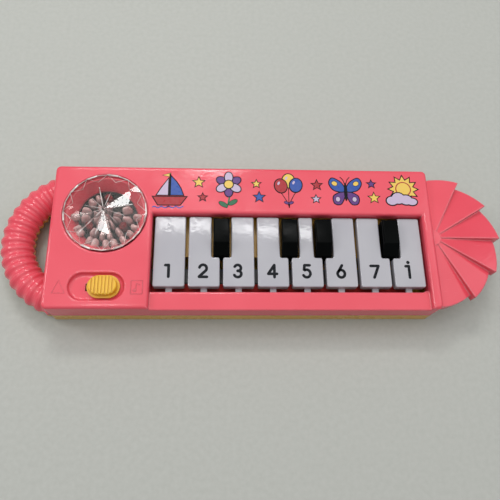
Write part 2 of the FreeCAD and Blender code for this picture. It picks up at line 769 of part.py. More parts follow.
# Bottom housing: yellow tray with its joining lip, bosses, battery well, grille and lower loop
tray_block = box("tray_block", ("body_left", "front_y", "0"), ("body_length", "body_depth", "split_height"))
tray_corners = rounded("tray_corners", tray_block, "corner_radius", upright)
tray_outside = rounded("tray_outside", tray_corners, "base_edge", lambda edge: at_height(edge, 0.0))
tray_cavity = box("tray_cavity", ("body_left + wall", "front_y + wall", "floor_thick"),
                  ("body_length - 2 * wall", "body_depth - 2 * wall", "split_height"))
tray = cut("tray", tray_outside, [tray_cavity])
lip_outer = box("lip_outer",
                ("body_left + wall + lip_gap", "front_y + wall + lip_gap", "split_height - lip_root"),
                ("body_length - 2 * (wall + lip_gap)", "body_depth - 2 * (wall + lip_gap)",
                 "lip_root + lip_height"))
lip_base = box("lip_base", ("body_left + wall / 2", "front_y + wall / 2", "split_height - lip_root"),
               ("body_length - wall", "body_depth - wall", "lip_root"))
lip_inner = box("lip_inner",
                ("body_left + wall + lip_gap + lip_thick", "front_y + wall + lip_gap + lip_thick",
                 "floor_thick"),
                ("body_length - 2 * (wall + lip_gap + lip_thick)",
                 "body_depth - 2 * (wall + lip_gap + lip_thick)", "body_height"))
boss_reliefs = [
    rod(f"boss_relief_{number}", (x, y, "split_height"), "boss_radius + lip_gap", "2 * lip_height")
    for number, (x, y) in enumerate(CASE_SCREWS)]
lip = cut("lip", fuse("lip_blank", [lip_outer, lip_base]), [lip_inner] + boss_reliefs)

case_bosses = [rod(f"case_boss_{number}", (x, y, "floor_thick / 2"), "boss_radius",
                   "split_height - floor_thick / 2") for number, (x, y) in enumerate(CASE_SCREWS)]
board_bosses = [rod(f"board_boss_{number}", (x, y, "floor_thick / 2"), "small_head_radius + screw_gap",
                    "board_z - floor_thick / 2") for number, (x, y) in enumerate(BOARD_SCREWS)]
frame_bosses = [rod(f"frame_boss_{number}", (x, y, "floor_thick / 2"), "small_head_radius + screw_gap",
                    "frame_z - floor_thick / 2") for number, (x, y) in enumerate(FRAME_SCREWS)]
bay_block = box("bay_block", ("bay_left - bay_wall", "bay_front - bay_wall", "floor_thick / 2"),
                ("bay_length + 2 * bay_wall", "bay_width + 2 * bay_wall",
                 "bay_top + bay_wall - floor_thick / 2"))
door_boss = box("door_boss", ("lug_left", "lug_front", "door_boss_z"),
                ("lug_length", "lug_depth + door_ledge - bay_wall / 2", "frame_z - board_gap - door_boss_z"))
speaker_wall = rod("speaker_wall", ("speaker_x", "speaker_y", "floor_thick / 2"),
                   "speaker_radius + speaker_gap + speaker_ring / 2", "floor_thick / 2 + basket_height / 2")
lower_loop = half_of_loop("lower_loop", False)
dish = shaped("dish", fan_dish())
bottom_solid = fuse("bottom_solid", [tray, lip, bay_block, door_boss, speaker_wall, lower_loop, dish]
                    + case_bosses + board_bosses + frame_bosses)

bay_cut = box("bay_cut", ("bay_left", "bay_front", "-wall"), ("bay_length", "bay_width", "bay_top + wall"))
door_cut = box("door_cut", ("door_left - door_gap", "door_front - door_gap", "-wall"),
               ("door_right - door_left + 2 * door_gap", "door_rear - door_front + 2 * door_gap",
                "floor_thick + wall"))
lug_cut = box("lug_cut", ("lug_left - door_gap", "lug_front - door_gap", "-wall"),
              ("lug_length + 2 * door_gap", "lug_depth + 2 * door_gap", "floor_thick + wall"))
speaker_cut = rod("speaker_cut", ("speaker_x", "speaker_y", "floor_thick"), "speaker_radius + speaker_gap",
                  "basket_height")
tag_slots = [centred_box(f"tag_slot_{end}", x, "cell_y", "tag_z - tag_gap", "2 * bay_wall",
                         "tag_width + 2 * tag_gap", "tag_thick + 2 * tag_gap")
             for end, x in (("left", "bay_left"), ("right", "bay_right"))]
bottom_cuts = [bay_cut, door_cut, lug_cut, speaker_cut] + tag_slots
for number, (x, y) in enumerate(CASE_SCREWS):
    bottom_cuts.append(rod(f"case_head_hole_{number}", (x, y, "-wall"), "screw_head_radius + screw_gap",
                           "screw_seat + wall"))
    bottom_cuts.append(rod(f"case_hole_{number}", (x, y, "0"), "screw_radius + screw_gap",
                           "2 * split_height"))
for number, (x, y) in enumerate(BOARD_SCREWS):
    bottom_cuts.append(rod(f"board_pilot_{number}", (x, y, "board_top - small_length - small_radius"),
                           SMALL_PILOT, "2 * small_length"))
for number, (x, y) in enumerate(FRAME_SCREWS):
    bottom_cuts.append(rod(f"frame_pilot_{number}", (x, y, "frame_top - small_length - small_radius"),
                           SMALL_PILOT, "2 * small_length"))
bottom_cuts.append(rod("door_pilot", ("door_screw_x", "door_screw_y", "floor_thick"), SMALL_HOLE,
                       "door_screw_length + small_head_radius"))
for ring in range(GRILLE_RINGS):
    holes = max(1, HOLES_PER_RING * ring)
    for hole in range(holes):
        turn = f"{hole} * 360 deg / {holes}"
        bottom_cuts.append(rod(f"grille_{ring}_{hole}",
                               (f"speaker_x + {ring} * grille_pitch * cos({turn})",
                                f"speaker_y + {ring} * grille_pitch * sin({turn})", "-wall"),
                               "grille_radius", "3 * wall"))
bottom_housing = cut("bottom_housing", bottom_solid, bottom_cuts)

# Battery door: a long plate with a tongue at its left end and a screw lug at its right end
DOOR_CORNERS = (("door_left", "door_front"), ("lug_left", "door_front"), ("lug_left", "lug_front"),
                ("door_right", "lug_front"), ("door_right", "door_rear"), ("door_left", "door_rear"))
door_plate = plate("door_plate", DOOR_CORNERS, "door_sink", "door_thick")
tongue_root = box("tongue_root",
                  ("door_left + door_tongue_lift", "cell_y - door_tongue_width / 2", "door_sink"),
                  ("door_tail / 2", "door_tongue_width",
                   "floor_thick + door_tongue_lift + door_tongue_thick - door_sink"))
door_tongue = box("door_tongue", ("door_left - door_tongue_reach", "cell_y - door_tongue_width / 2",
                                  "floor_thick + door_tongue_lift"),
                  ("door_tongue_reach + door_tail / 2", "door_tongue_width", "door_tongue_thick"))
screw_pad = rod("screw_pad", ("door_screw_x", "door_screw_y", "door_sink"),
                "small_head_radius + 2 * screw_gap + bay_wall / 2", "door_thick + door_boss_height")
door_blank = fuse("door_blank", [door_plate, tongue_root, door_tongue, screw_pad])
door_seat = "(door_top + door_boss_height / 2)"
door_head_hole = rod("door_head_hole", ("door_screw_x", "door_screw_y", "0"),
                     "small_head_radius + screw_gap", door_seat)
door_hole = rod("door_hole", ("door_screw_x", "door_screw_y", "0"), SMALL_HOLE,
                "2 * door_top + 2 * door_boss_height")
battery_door = cut("battery_door", door_blank, [door_head_hole, door_hole])
battery_door_screw = screw("battery_door_screw", "door_screw_x", "door_screw_y", door_seat, "small_radius",
                           "small_head_radius", "small_head_height", "door_screw_length", True)

# Batteries and their contacts: two cells in line, a plate at the left end, a coil at the right end
cells = []
for number in range(CELL_COUNT):
    start = f"(bay_left + plate_thick + {number} * cell_length)"
    can = rod(f"cell_can_{number}", (f"{start} + nub_length", "cell_y", "cell_z"), "cell_radius",
              "cell_length - nub_length", along="x")
    nub = rod(f"cell_nub_{number}", (start, "cell_y", "cell_z"), "nub_radius", "2 * nub_length", along="x")
    cells.append(fuse(f"cell_{number}", [can, nub]))
battery_cells = group("battery_cells", cells)


def contact(name, plate_x, tag_x):
    """A sprung-metal contact: a plate on the well's end wall with a tag out through that wall."""
    face = box(name + "_face", (plate_x, "cell_y - contact_width / 2", "cell_z - contact_width / 2"),
               ("plate_thick", "contact_width", "contact_width"))
    tag = box(name + "_tag", (tag_x, "cell_y - tag_width / 2", "tag_z"),
              ("plate_thick + bay_wall + tag_reach", "tag_width", "tag_thick"))
    return fuse(name, [face, tag])


def coil(start, length, radius, wire, turns):
    """A round wire wound along X from start, as one tube on quarter-turn arcs."""
    quarters = 4 * turns

    def on_coil(quarter):
        turn = quarter * math.pi / 2
        return start + Vector(length * quarter / quarters, radius * math.cos(turn), radius * math.sin(turn))

    arcs = [Part.Arc(on_coil(q), on_coil(q + 0.5), on_coil(q + 1)).toShape() for q in range(quarters)]
    path = Part.Wire(arcs)
    direction = arcs[0].tangentAt(arcs[0].FirstParameter)
    section = Part.Wire([Part.Circle(on_coil(0), direction, wire).toShape()])
    print("battery spring gap between turns", round(length / turns - 2 * wire, 2))
    return path.makePipeShell([section], True, False)


battery_plate = contact("battery_plate", "bay_left", "bay_left - bay_wall - tag_reach")
spring_back = contact("spring_back", "bay_right - plate_thick", "bay_right - plate_thick")
coil_room = value("spring_space") - value("plate_thick") - 2 * value("spring_wire")
coil_start = value("bay_right") - value("spring_space") + value("spring_wire")
spring_coil = shaped("spring_coil", coil(Vector(coil_start, value("cell_y"), value("cell_z")), coil_room,
                                         value("spring_radius"), value("spring_wire"), SPRING_TURNS))
battery_spring = group("battery_spring", [spring_back, spring_coil])

# Circuit board with the parts soldered on it
board_blank = plate("board_blank", (("board_left", "board_front"), ("board_right", "board_front"),
                                    ("board_right", "board_rear"), ("board_left", "board_rear")),
                    "board_z", "board_thick")
main_board = cut("main_board", board_blank,
                 [rod(f"board_hole_{number}", (x, y, "board_z - wall"), SMALL_HOLE, "board_thick + 2 * wall")
                  for number, (x, y) in enumerate(BOARD_SCREWS)])
board_screws = group("board_screws", [
    screw(f"board_screw_{number}", x, y, "board_top", "small_radius", "small_head_radius",
          "small_head_height", "small_length", False) for number, (x, y) in enumerate(BOARD_SCREWS)])
FRONT_ROW_Y = "(board_front + chip_radius + board_gap)"
blob = [(f"{across} * chip_radius", f"board_top + {up} * chip_height") for across, up in BLOB_PROFILE]
sound_chip = turned("sound_chip", [("0", "board_top")] + blob + [("0", "board_top + chip_height")],
                    gap_centre(2), FRONT_ROW_Y)
board_resistors = group("board_resistors", [
    centred_box(f"resistor_{number}", gap_centre(number + RESISTOR_COUNT), FRONT_ROW_Y, "board_top",
                "resistor_length", "resistor_width", "resistor_height") for number in range(RESISTOR_COUNT)])
board_capacitor = rod("board_capacitor", ("opening_left - 2 * capacitor_radius",
                                          "board_rear - 1.5 * capacitor_radius", "board_top"),
                      "capacitor_radius", "capacitor_height")
board_transistor = centred_box("board_transistor", "recess_x", "board_rear - transistor_depth", "board_top",
                               "transistor_width", "transistor_depth", "transistor_height")

# Rubber contact strip with one hollow dome under each key
strip_sheet = box("strip_sheet", ("key_left", "plunger_y - strip_width / 2", "board_top"),
                  ("key_block", "strip_width", "strip_thick"))
domes = [cone(f"dome_{index}", (key_centre(index), "plunger_y", "dome_z"), "dome_radius", "dome_top_radius",
              "dome_height") for index in range(KEY_COUNT)]
hollows = [cone(f"dome_hollow_{index}", (key_centre(index), "plunger_y", "board_top - strip_thick"),
                "dome_radius - dome_wall", "dome_top_radius - dome_wall",
                "dome_height + 2 * strip_thick - dome_wall") for index in range(KEY_COUNT)]
contact_strip = cut("contact_strip", fuse("strip_blank", [strip_sheet] + domes), hollows)

# Key frame: a bridge that carries the hinge rod in five brackets and a peg for each black cap
frame_plate = plate("frame_plate", (
    ("key_left - frame_side", "frame_front"), ("key_right + frame_side", "frame_front"),
    ("key_right + frame_side", "hinge_y + barrel_radius"),
    ("key_left - frame_side", "hinge_y + barrel_radius")), "frame_z", "frame_thick")
bracket_places = ["(key_left - frame_side + bracket_width / 2)"]
bracket_places += [gap_centre(keys) for keys in BRACKETS_AFTER]
bracket_places.append("(key_right + frame_side - bracket_width / 2)")
brackets = []
for number, x in enumerate(bracket_places):
    brackets.append(centred_box(f"bracket_{number}", x, "hinge_y", "frame_top - frame_thick / 2",
                                "bracket_width", "2 * barrel_radius",
                                "hinge_z - frame_top + frame_thick / 2"))
    brackets.append(rod(f"bracket_top_{number}", (f"{x} - bracket_width / 2", "hinge_y", "hinge_z"),
                        "barrel_radius", "bracket_width", along="x"))
PEG_Y = "((sharp_front + sharp_rear) / 2 + peg_length / 4)"
pegs = [centred_box(f"peg_{keys}", gap_centre(keys), PEG_Y, "frame_top - frame_thick / 2", "peg_width",
                    "peg_length", "sharp_top - peg_top_wall - frame_top + frame_thick / 2 - peg_gap")
        for keys in SHARP_AFTER]
hinge_bore = rod("hinge_bore", ("key_left - 2 * frame_side", "hinge_y", "hinge_z"), "rod_radius + rod_gap",
                 "key_block + 4 * frame_side", along="x")
frame_holes = [rod(f"frame_hole_{number}", (x, y, "frame_z - wall"), SMALL_HOLE, "frame_thick + 2 * wall")
               for number, (x, y) in enumerate(FRAME_SCREWS)]
key_frame = cut("key_frame", fuse("frame_blank", [frame_plate] + brackets + pegs), [hinge_bore] + frame_holes)
frame_screws = group("frame_screws", [
    screw(f"frame_screw_{number}", x, y, "frame_top", "small_radius", "small_head_radius",
          "small_head_height", "small_length", False) for number, (x, y) in enumerate(FRAME_SCREWS)])
key_hinge_rod = rod("key_hinge_rod", ("key_left - frame_side", "hinge_y", "hinge_z"), "rod_radius",
                    "key_block + 2 * frame_side", along="x")


# White keys: hollow caps with a rear tongue and barrel on the hinge rod, a plunger and a stop tab
def white_key(number):
    name = f"white_key_{number}"
    index = number - 1
    left = f"(key_left + {index} * key_pitch)"
    bite_left = "slot_bite" if index in SHARP_AFTER else "0"
    bite_right = "slot_bite" if number in SHARP_AFTER else "0"
    cap = box(name + "_cap", (left, "key_front", "key_bottom"), ("key_width", "key_length", "key_cap_height"))
    bites = []
    for side, bite, start in (("left", bite_left, f"{left} - key_gap"),
                              ("right", bite_right, f"{left} + key_width - slot_bite")):
        if bite == "slot_bite":
            bites.append(box(f"{name}_bite_{side}",
                             (start, "key_rear - sharp_slot_length", "key_bottom - wall"),
                             ("slot_bite + key_gap", "sharp_slot_length + wall",
                              "key_cap_height + 2 * wall")))
    outline_block = cut(name + "_outline", cap, bites) if bites else cap
    corners = rounded(name + "_corners", outline_block, "key_corner", upright)
    edges = rounded(name + "_edges", corners, "key_edge", lambda edge: at_height(edge, value("key_top")))
    hollow_z, hollow_height = "key_bottom - wall", "key_cap_height - key_plate + wall"
    front_hollow = box(name + "_front_hollow", (f"{left} + key_shell", "key_front + key_shell", hollow_z),
                       ("key_width - 2 * key_shell", "key_length - sharp_slot_length - 2 * key_shell",
                        hollow_height))
    neck = f"{left} + {bite_left}"
    neck_width = f"(key_width - {bite_left} - {bite_right})"
    rear_hollow = box(name + "_rear_hollow", (f"{neck} + key_shell", "key_front + key_shell", hollow_z),
                      (f"{neck_width} - 2 * key_shell", "key_length - 2 * key_shell", hollow_height))
    shell = cut(name + "_shell", edges, [front_hollow, rear_hollow])
    tongue_left = f"{neck} + ({neck_width} - tongue_width) / 2"
    tongue = box(name + "_tongue", (tongue_left, "key_rear - key_shell", "tongue_z"),
                 ("tongue_width", "hinge_y - key_rear + key_shell", "tongue_thick"))
    barrel = rod(name + "_barrel", (tongue_left, "hinge_y", "hinge_z"), "barrel_radius", "tongue_width",
                 along="x")
    plunger = centred_box(name + "_plunger", key_centre(index), "plunger_y", "plunger_z", "plunger_size",
                          "plunger_size", "key_top - key_plate / 2 - plunger_z")
    tab = box(name + "_tab", (f"{key_centre(index)} - tab_width / 2", "key_front - tab_reach", "tab_z"),
              ("tab_width", "tab_reach + key_shell", "tab_thick"))
    bore = rod(name + "_bore", (f"{tongue_left} - wall", "hinge_y", "hinge_z"), "rod_radius + rod_gap",
               "tongue_width + 2 * wall", along="x")
    return cut(name, fuse(name + "_whole", [shell, tongue, barrel, plunger, tab]), [bore])


white_keys = [white_key(number) for number in range(1, KEY_COUNT + 1)]


# Black keys: solid caps with a sloping front, pushed on the frame's pegs
def black_key(number, keys_before):
    name = f"black_key_{number}"
    body = doc.addObject("PartDesign::Body", name + "_body")
    side = outline(body, name + "_side", "YZ_Plane", (
        ("sharp_front", "frame_top"), ("sharp_rear", "frame_top"), ("sharp_rear", "sharp_top"),
        ("sharp_front + sharp_slope", "sharp_top"), ("sharp_front", "key_top")))
    pad = body.newObject("PartDesign::Pad", name + "_pad")
    pad.Profile = side
    pad.SideType = "Symmetric"
    bind(pad, "Length", "sharp_width")
    doc.recompute()
    fillet = body.newObject("PartDesign::Fillet", name + "_fillet")
    high = [f"Edge{number}" for number, edge in enumerate(pad.Shape.Edges, start=1)
            if edge.BoundBox.ZMin > value("frame_top") + TOUCH]
    fillet.Base = (pad, high)
    bind(fillet, "Radius", "sharp_edge")
    put_at(body, gap_centre(keys_before), "0", "0")
    socket = centred_box(name + "_socket", gap_centre(keys_before), PEG_Y, "frame_top - wall",
                         "peg_width + 2 * peg_gap", "peg_length + 2 * peg_gap",
                         "sharp_top - peg_top_wall - frame_top + wall")
    return cut(name, body, [socket])


black_keys = [black_key(number, keys) for number, keys in enumerate(SHARP_AFTER, start=1)]


# Lamp: faceted clear lens on the well's seat, and the small round board under the funnel
def faceted_lens():
    """A clear crown of kite facets that meet in a point, with pairs of small facets at its rim."""
    radius, ring = value("lens_radius"), value("facet_ring")
    base = value("seat_z") + value("seat_gap")
    girdle = value("body_height") + value("girdle_rise")
    apex_z = value("body_height") + value("lens_rise")
    step = 2 * math.pi / LENS_FACETS
    ring_z = apex_z - (apex_z - girdle) * ring * math.cos(step / 2)
    centre = Vector(value("lamp_x"), value("lamp_y"), 0)

    def around(turns, reach, height):
        return centre + Vector(reach * math.cos(turns * step), reach * math.sin(turns * step), height)

    apex = centre + Vector(0, 0, apex_z)
    faces = []

    def face(points):
        faces.append(Part.Face(Part.makePolygon(points + points[:1])))

    floor = []
    for index in range(LENS_FACETS):
        before, after = around(index - 0.5, ring * radius, ring_z), around(index + 0.5, ring * radius, ring_z)
        here, middle = around(index, radius, girdle), around(index + 0.5, radius, girdle)
        beyond = around(index + 1, radius, girdle)
        face([apex, before, here, after])
        face([after, here, middle])
        face([after, middle, beyond])
        low_here, low_middle = around(index, radius, base), around(index + 0.5, radius, base)
        face([here, low_here, low_middle, middle])
        face([middle, low_middle, around(index + 1, radius, base), beyond])
        floor += [low_here, low_middle]
    face(floor[::-1])
    lens = Part.makeSolid(Part.makeShell(faces))
    if lens.Volume < 0:
        lens.reverse()
    return lens


light_lens = shaped("light_lens", faceted_lens())
lamp_board = rod("lamp_board", ("lamp_x", "lamp_y", "funnel_z - board_thick"), "funnel_radius + well_wall",
                 "board_thick")
diffuser_side = [(f"{across} * diffuser_radius", f"funnel_z + {up} * diffuser_height")
                 for across, up in DIFFUSER_PROFILE]
lamp_diffuser = turned("lamp_diffuser",
                       [("0", "funnel_z")] + diffuser_side + [("0", "funnel_z + diffuser_height")],
                       "lamp_x", "lamp_y")
leds = []
for number in range(LED_COUNT):
    turn = f"({number} * 360 deg / {LED_COUNT} + 90 deg)"
    x, y = f"(lamp_x + led_ring * cos({turn}))", f"(lamp_y + led_ring * sin({turn}))"
    stalk = rod(f"led_stalk_{number}", (x, y, "funnel_z"), "led_radius", "led_height - led_radius")
    dome = cone(f"led_dome_{number}", (x, y, "funnel_z + led_height - led_radius"), "led_radius",
                "led_tip_radius", "led_radius")
    leds.append(fuse(f"led_{number}", [stalk, dome]))
lamp_leds = group("lamp_leds", leds)

# Mode switch: ribbed knob in the recess, its stem over the lever of the slide switch on the board
knob_foot = obround("knob_foot", "knob_x", "recess_y", "knob_z", "knob_length", "knob_width", "knob_flange")
grip_length, grip_width = "knob_length - 2 * knob_step", "knob_width - 2 * knob_step"
knob_grip = obround("knob_grip", "knob_x", "recess_y", "knob_z", grip_length, grip_width, "knob_rise")
knob_stem = centred_box("knob_stem", "knob_x", "recess_y", "stem_z", "stem_length", "stem_width",
                        "knob_z - stem_z + knob_flange / 2")
knob_blank = fuse("knob_blank", [knob_foot, knob_grip, knob_stem])
knob_soft = rounded("knob_soft", knob_blank, "groove_width",
                    lambda edge: at_height(edge, value("knob_z") + value("knob_rise")))
grooves = [centred_box(f"groove_{number}", f"(knob_x + ({number} - {GROOVE_COUNT // 2}) * groove_pitch)",
                       "recess_y", "knob_z + knob_rise - groove_width", "groove_width", "knob_width",
                       "knob_rise") for number in range(GROOVE_COUNT)]
knob_socket = centred_box("knob_socket", "knob_x", "recess_y", "stem_z - wall",
                          "lever_length + 2 * lever_gap", "lever_width + 2 * lever_gap",
                          "socket_depth + wall")
slide_knob = cut("slide_knob", knob_soft, grooves + [knob_socket])
switch_case = centred_box("switch_case", "recess_x", "recess_y", "board_top", "switch_length", "switch_width",
                          "switch_height")
POCKET_Z = "board_top + switch_height - switch_pocket"
switch_slot = centred_box("switch_slot", "recess_x", "recess_y", POCKET_Z,
                          "lever_length + knob_travel + 2 * knob_lift", "lever_width + 2 * knob_lift",
                          "switch_height")
switch_body = cut("switch_body", switch_case, [switch_slot])
switch_actuator = centred_box("switch_actuator", "knob_x", "recess_y", f"{POCKET_Z} + knob_lift",
                              "lever_length", "lever_width",
                              f"stem_z + socket_depth - lever_gap - ({POCKET_Z} + knob_lift)")

# Loudspeaker: pressed basket face down over the grille, paper cone inside, magnet on its back
speaker_basket = turned("speaker_basket", (
    ("speaker_radius", "floor_thick"), ("speaker_radius", "basket_top"), ("0", "basket_top"),
    ("0", "basket_top - basket_wall"), ("speaker_radius - speaker_ring", "basket_top - basket_wall"),
    ("speaker_radius - speaker_ring", "floor_thick")), "speaker_x", "speaker_y")
CONE_EDGE, CONE_BASE = "speaker_radius - speaker_ring", "floor_thick + cone_lift"
speaker_cone = turned("speaker_cone", (
    (CONE_EDGE, CONE_BASE), (CONE_EDGE, f"{CONE_BASE} + cone_thick"),
    ("cone_inner_radius", f"{CONE_BASE} + cone_thick + cone_rise"), ("0", f"{CONE_BASE} + cone_rise"),
    ("0", f"{CONE_BASE} + cone_rise - cone_thick"), ("cone_inner_radius", f"{CONE_BASE} + cone_rise")),
    "speaker_x", "speaker_y")
speaker_magnet = turned("speaker_magnet", (
    ("0", "basket_top"), ("magnet_radius", "basket_top"), ("magnet_radius", "basket_top + magnet_height"),
    ("0", "basket_top + magnet_height")), "speaker_x", "speaker_y")


def wire(points):
    """A round wire on straight runs joined by arcs as large as the runs allow."""
    edges = []
    start = points[0]
    for before, here, after in zip(points, points[1:], points[2:]):
        inward, onward = (before - here), (after - here)
        shorter = min(inward.Length, onward.Length)
        turn = math.pi - inward.getAngle(onward)
        reach = ARC_SHARE * shorter
        first = here + inward.normalize() * reach
        last = here + onward.normalize() * reach
        radius = reach / math.tan(turn / 2)
        bisector = (inward + onward).normalize()
        middle = here + bisector * (radius / math.cos(turn / 2) - radius)
        edges.append(Part.LineSegment(start, first).toShape())
        edges.append(Part.Arc(first, middle, last).toShape())
        start = last
        print("wire bend radius", round(radius, 2))
    edges.append(Part.LineSegment(start, points[-1]).toShape())
    direction = points[1] - points[0]
    section = Part.Wire([Part.Circle(points[0], direction, value("wire_radius")).toShape()])
    return Part.Wire(edges).makePipeShell([section], True, False)


def wire_pair(name, routes):
    return group(name, [shaped(f"{name}_{number}", wire(route)) for number, route in enumerate(routes)])


# Wires: each pair runs from its piece to the rear edge or the underside of the circuit board
edge_z = value("board_z") + value("board_thick") / 2
tag_middle = value("tag_z") + value("tag_thick") / 2
tag_end = value("bay_wall") + value("tag_reach")
battery_routes = [
    [Vector(end, value("cell_y"), tag_middle), Vector(aside, value("cell_y"), tag_middle),
     Vector(aside, value("cell_y"), edge_z), Vector(aside, value("board_rear"), edge_z)]
    for end, aside in ((value("bay_left") - tag_end, value("bay_left") - 2 * tag_end),
                       (value("bay_right") + tag_end, value("bay_right") + 2 * tag_end))]
battery_wires = wire_pair("battery_wires", battery_routes)
lamp_exit_y = value("lamp_y") - value("funnel_radius") + 2 * value("wire_radius")
lamp_under = value("funnel_z") - value("board_thick")
lamp_routes = [
    [Vector(x, lamp_exit_y, lamp_under), Vector(x, lamp_exit_y, edge_z),
     Vector(x, value("board_rear"), edge_z)]
    for x in (value("lamp_x") - value("led_radius"), value("lamp_x") + value("led_radius"))]
lamp_wires = wire_pair("lamp_wires", lamp_routes)
exit_z = value("basket_top") - 2 * value("wire_radius")
speaker_routes = []
for offset in (-value("led_radius"), value("led_radius")):
    x = value("speaker_x") + offset
    exit_y = value("speaker_y") - math.sqrt(value("speaker_radius") ** 2 - offset ** 2) - TOUCH
    under_y = exit_y - value("speaker_lead")
    speaker_routes.append([Vector(x, exit_y, exit_z), Vector(x, under_y, exit_z),
                           Vector(x, under_y, value("board_z"))])
speaker_wires = wire_pair("speaker_wires", speaker_routes)

# Case screws: up through the tray's bosses into the upper shell
case_screws = group("case_screws", [
    screw(f"case_screw_{number}", x, y, "screw_seat", "screw_radius", "screw_head_radius",
          "screw_head_height", "screw_length", True) for number, (x, y) in enumerate(CASE_SCREWS)])

NODES = [top_housing, bottom_housing, battery_door, battery_door_screw, battery_cells, battery_plate,
         battery_spring, main_board, board_screws, sound_chip, board_resistors, board_capacitor,
         board_transistor, contact_strip, key_frame, frame_screws, key_hinge_rod, light_lens, lamp_board,
         lamp_diffuser, lamp_leds, slide_knob, switch_body, switch_actuator, speaker_basket, speaker_cone,
         speaker_magnet, case_screws, battery_wires, lamp_wires, speaker_wires]
NODES += white_keys + black_keys

doc.recompute()
for thing in doc.Objects:
    if "Invalid" in thing.State or "Error" in thing.State:
        raise RuntimeError(f"{thing.Name} did not build: {thing.State}")
for node in NODES:
    node.Label = node.Name
    if node.Shape.isNull() or not node.Shape.isValid():
        raise RuntimeError(f"{node.Name} has no valid shape")

os.makedirs("parts", exist_ok=True)
for node in NODES:
    node.Shape.exportStep(f"parts/{node.Label}.step")
print(len(NODES), "nodes written")
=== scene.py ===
"""Looks of the toy piano: finishes, printed key numbers, raised signs and a printed band."""

from math import atan2, cos, hypot, pi, radians, sin

import bmesh
import bpy
from mathutils import Matrix, Vector


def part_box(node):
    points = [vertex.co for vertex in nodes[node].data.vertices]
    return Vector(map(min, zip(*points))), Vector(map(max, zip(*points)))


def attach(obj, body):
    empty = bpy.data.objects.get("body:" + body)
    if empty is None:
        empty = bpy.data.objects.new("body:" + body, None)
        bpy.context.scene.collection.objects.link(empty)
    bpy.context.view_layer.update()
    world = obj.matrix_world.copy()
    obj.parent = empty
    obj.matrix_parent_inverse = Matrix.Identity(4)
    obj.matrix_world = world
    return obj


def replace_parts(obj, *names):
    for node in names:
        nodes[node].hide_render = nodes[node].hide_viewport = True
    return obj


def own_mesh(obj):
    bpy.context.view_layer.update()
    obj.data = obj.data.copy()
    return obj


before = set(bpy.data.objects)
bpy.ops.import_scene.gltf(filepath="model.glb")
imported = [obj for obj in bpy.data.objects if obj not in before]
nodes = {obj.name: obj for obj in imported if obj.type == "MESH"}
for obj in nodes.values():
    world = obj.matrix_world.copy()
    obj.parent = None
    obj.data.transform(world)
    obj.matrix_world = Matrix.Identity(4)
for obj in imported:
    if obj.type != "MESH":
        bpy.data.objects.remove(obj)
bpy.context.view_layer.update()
scene = bpy.context.scene
MM = 0.001


# Bottom housing: the lower half of the case, injection moulded in warm yellow ABS.
# It stands on the table, carries every inner piece and takes the four case screws from below.
def shader_group(name, inputs, outputs):
    """An empty shader node group with its named sockets: the group, its inside inputs and outputs."""
    group = bpy.data.node_groups.new(name, "ShaderNodeTree")
    for way, sockets in (("INPUT", inputs), ("OUTPUT", outputs)):
        for label, kind in sockets.items():
            group.interface.new_socket(label, in_out=way, socket_type="NodeSocket" + kind)
    return group, group.nodes.new("NodeGroupInput").outputs, group.nodes.new("NodeGroupOutput").inputs


def connect(tree, value, socket):
    """Links a socket to another socket, or sets it to a plain value."""
    if isinstance(value, bpy.types.NodeSocket):
        tree.links.new(value, socket)
    else:
        socket.default_value = value


def feed(tree, made, inputs):
    """Sets or links a node's inputs, named as on the node or with _ for a space."""
    for name, value in inputs.items():
        connect(tree, value, made.inputs[name.replace("_", " ")])


def place(tree, kind, settings=None, **inputs):
    """One shader node with its settings, and a value or a socket for each named input."""
    made = tree.nodes.new("ShaderNode" + kind)
    for name, value in (settings or {}).items():
        setattr(made, name, value)
    feed(tree, made, inputs)
    return made


def use(tree, group, **inputs):
    """A shader group placed in a material with its own values: the group's outputs."""
    return place(tree, "Group", {"node_tree": group}, **inputs).outputs


def reckon(tree, operation, *terms, kind="Math", result=0):
    """The result of a Math or VectorMath node on values and sockets."""
    made = place(tree, kind, {"operation": operation})
    for term, socket in zip(terms, made.inputs):
        connect(tree, term, socket)
    return made.outputs[result]


def spread(tree, value, low=0.0, high=1.0, start=0.0, end=1.0):
    """A value between low and high stretched to run from start to end, and held there outside."""
    made = place(tree, "MapRange", Value=value, From_Min=low, From_Max=high, To_Min=start, To_Max=end)
    return made.outputs[0]


def tint(tree, share, first, second):
    """Two colours mixed by a share that changes over the surface."""
    made = place(tree, "Mix", {"data_type": "RGBA"})
    sockets = {socket.identifier: socket for socket in (*made.inputs, *made.outputs)}
    connect(tree, share, sockets["Factor_Float"])
    connect(tree, first, sockets["A_Color"])
    connect(tree, second, sockets["B_Color"])
    return sockets["Result_Color"]


def own_place(tree):
    """Where a point lies in the piece's own frame."""
    return place(tree, "TexCoord").outputs["Object"]


def speckle(tree, scale, detail=2.0, stretch=(1, 1, 1), turn=0.0):
    """Noise laid in the piece's own frame, stretched and turned about the vertical."""
    lie = place(tree, "Mapping", Vector=own_place(tree), Rotation=(0, 0, turn), Scale=stretch)
    return place(tree, "TexNoise", Vector=lie.outputs[0], Scale=scale, Detail=detail).outputs[0]


def relief(tree, height, strength, depth, **normal):
    """The surface direction over fine ups and downs."""
    return place(tree, "Bump", Strength=strength, Distance=depth, Height=height, **normal).outputs[0]


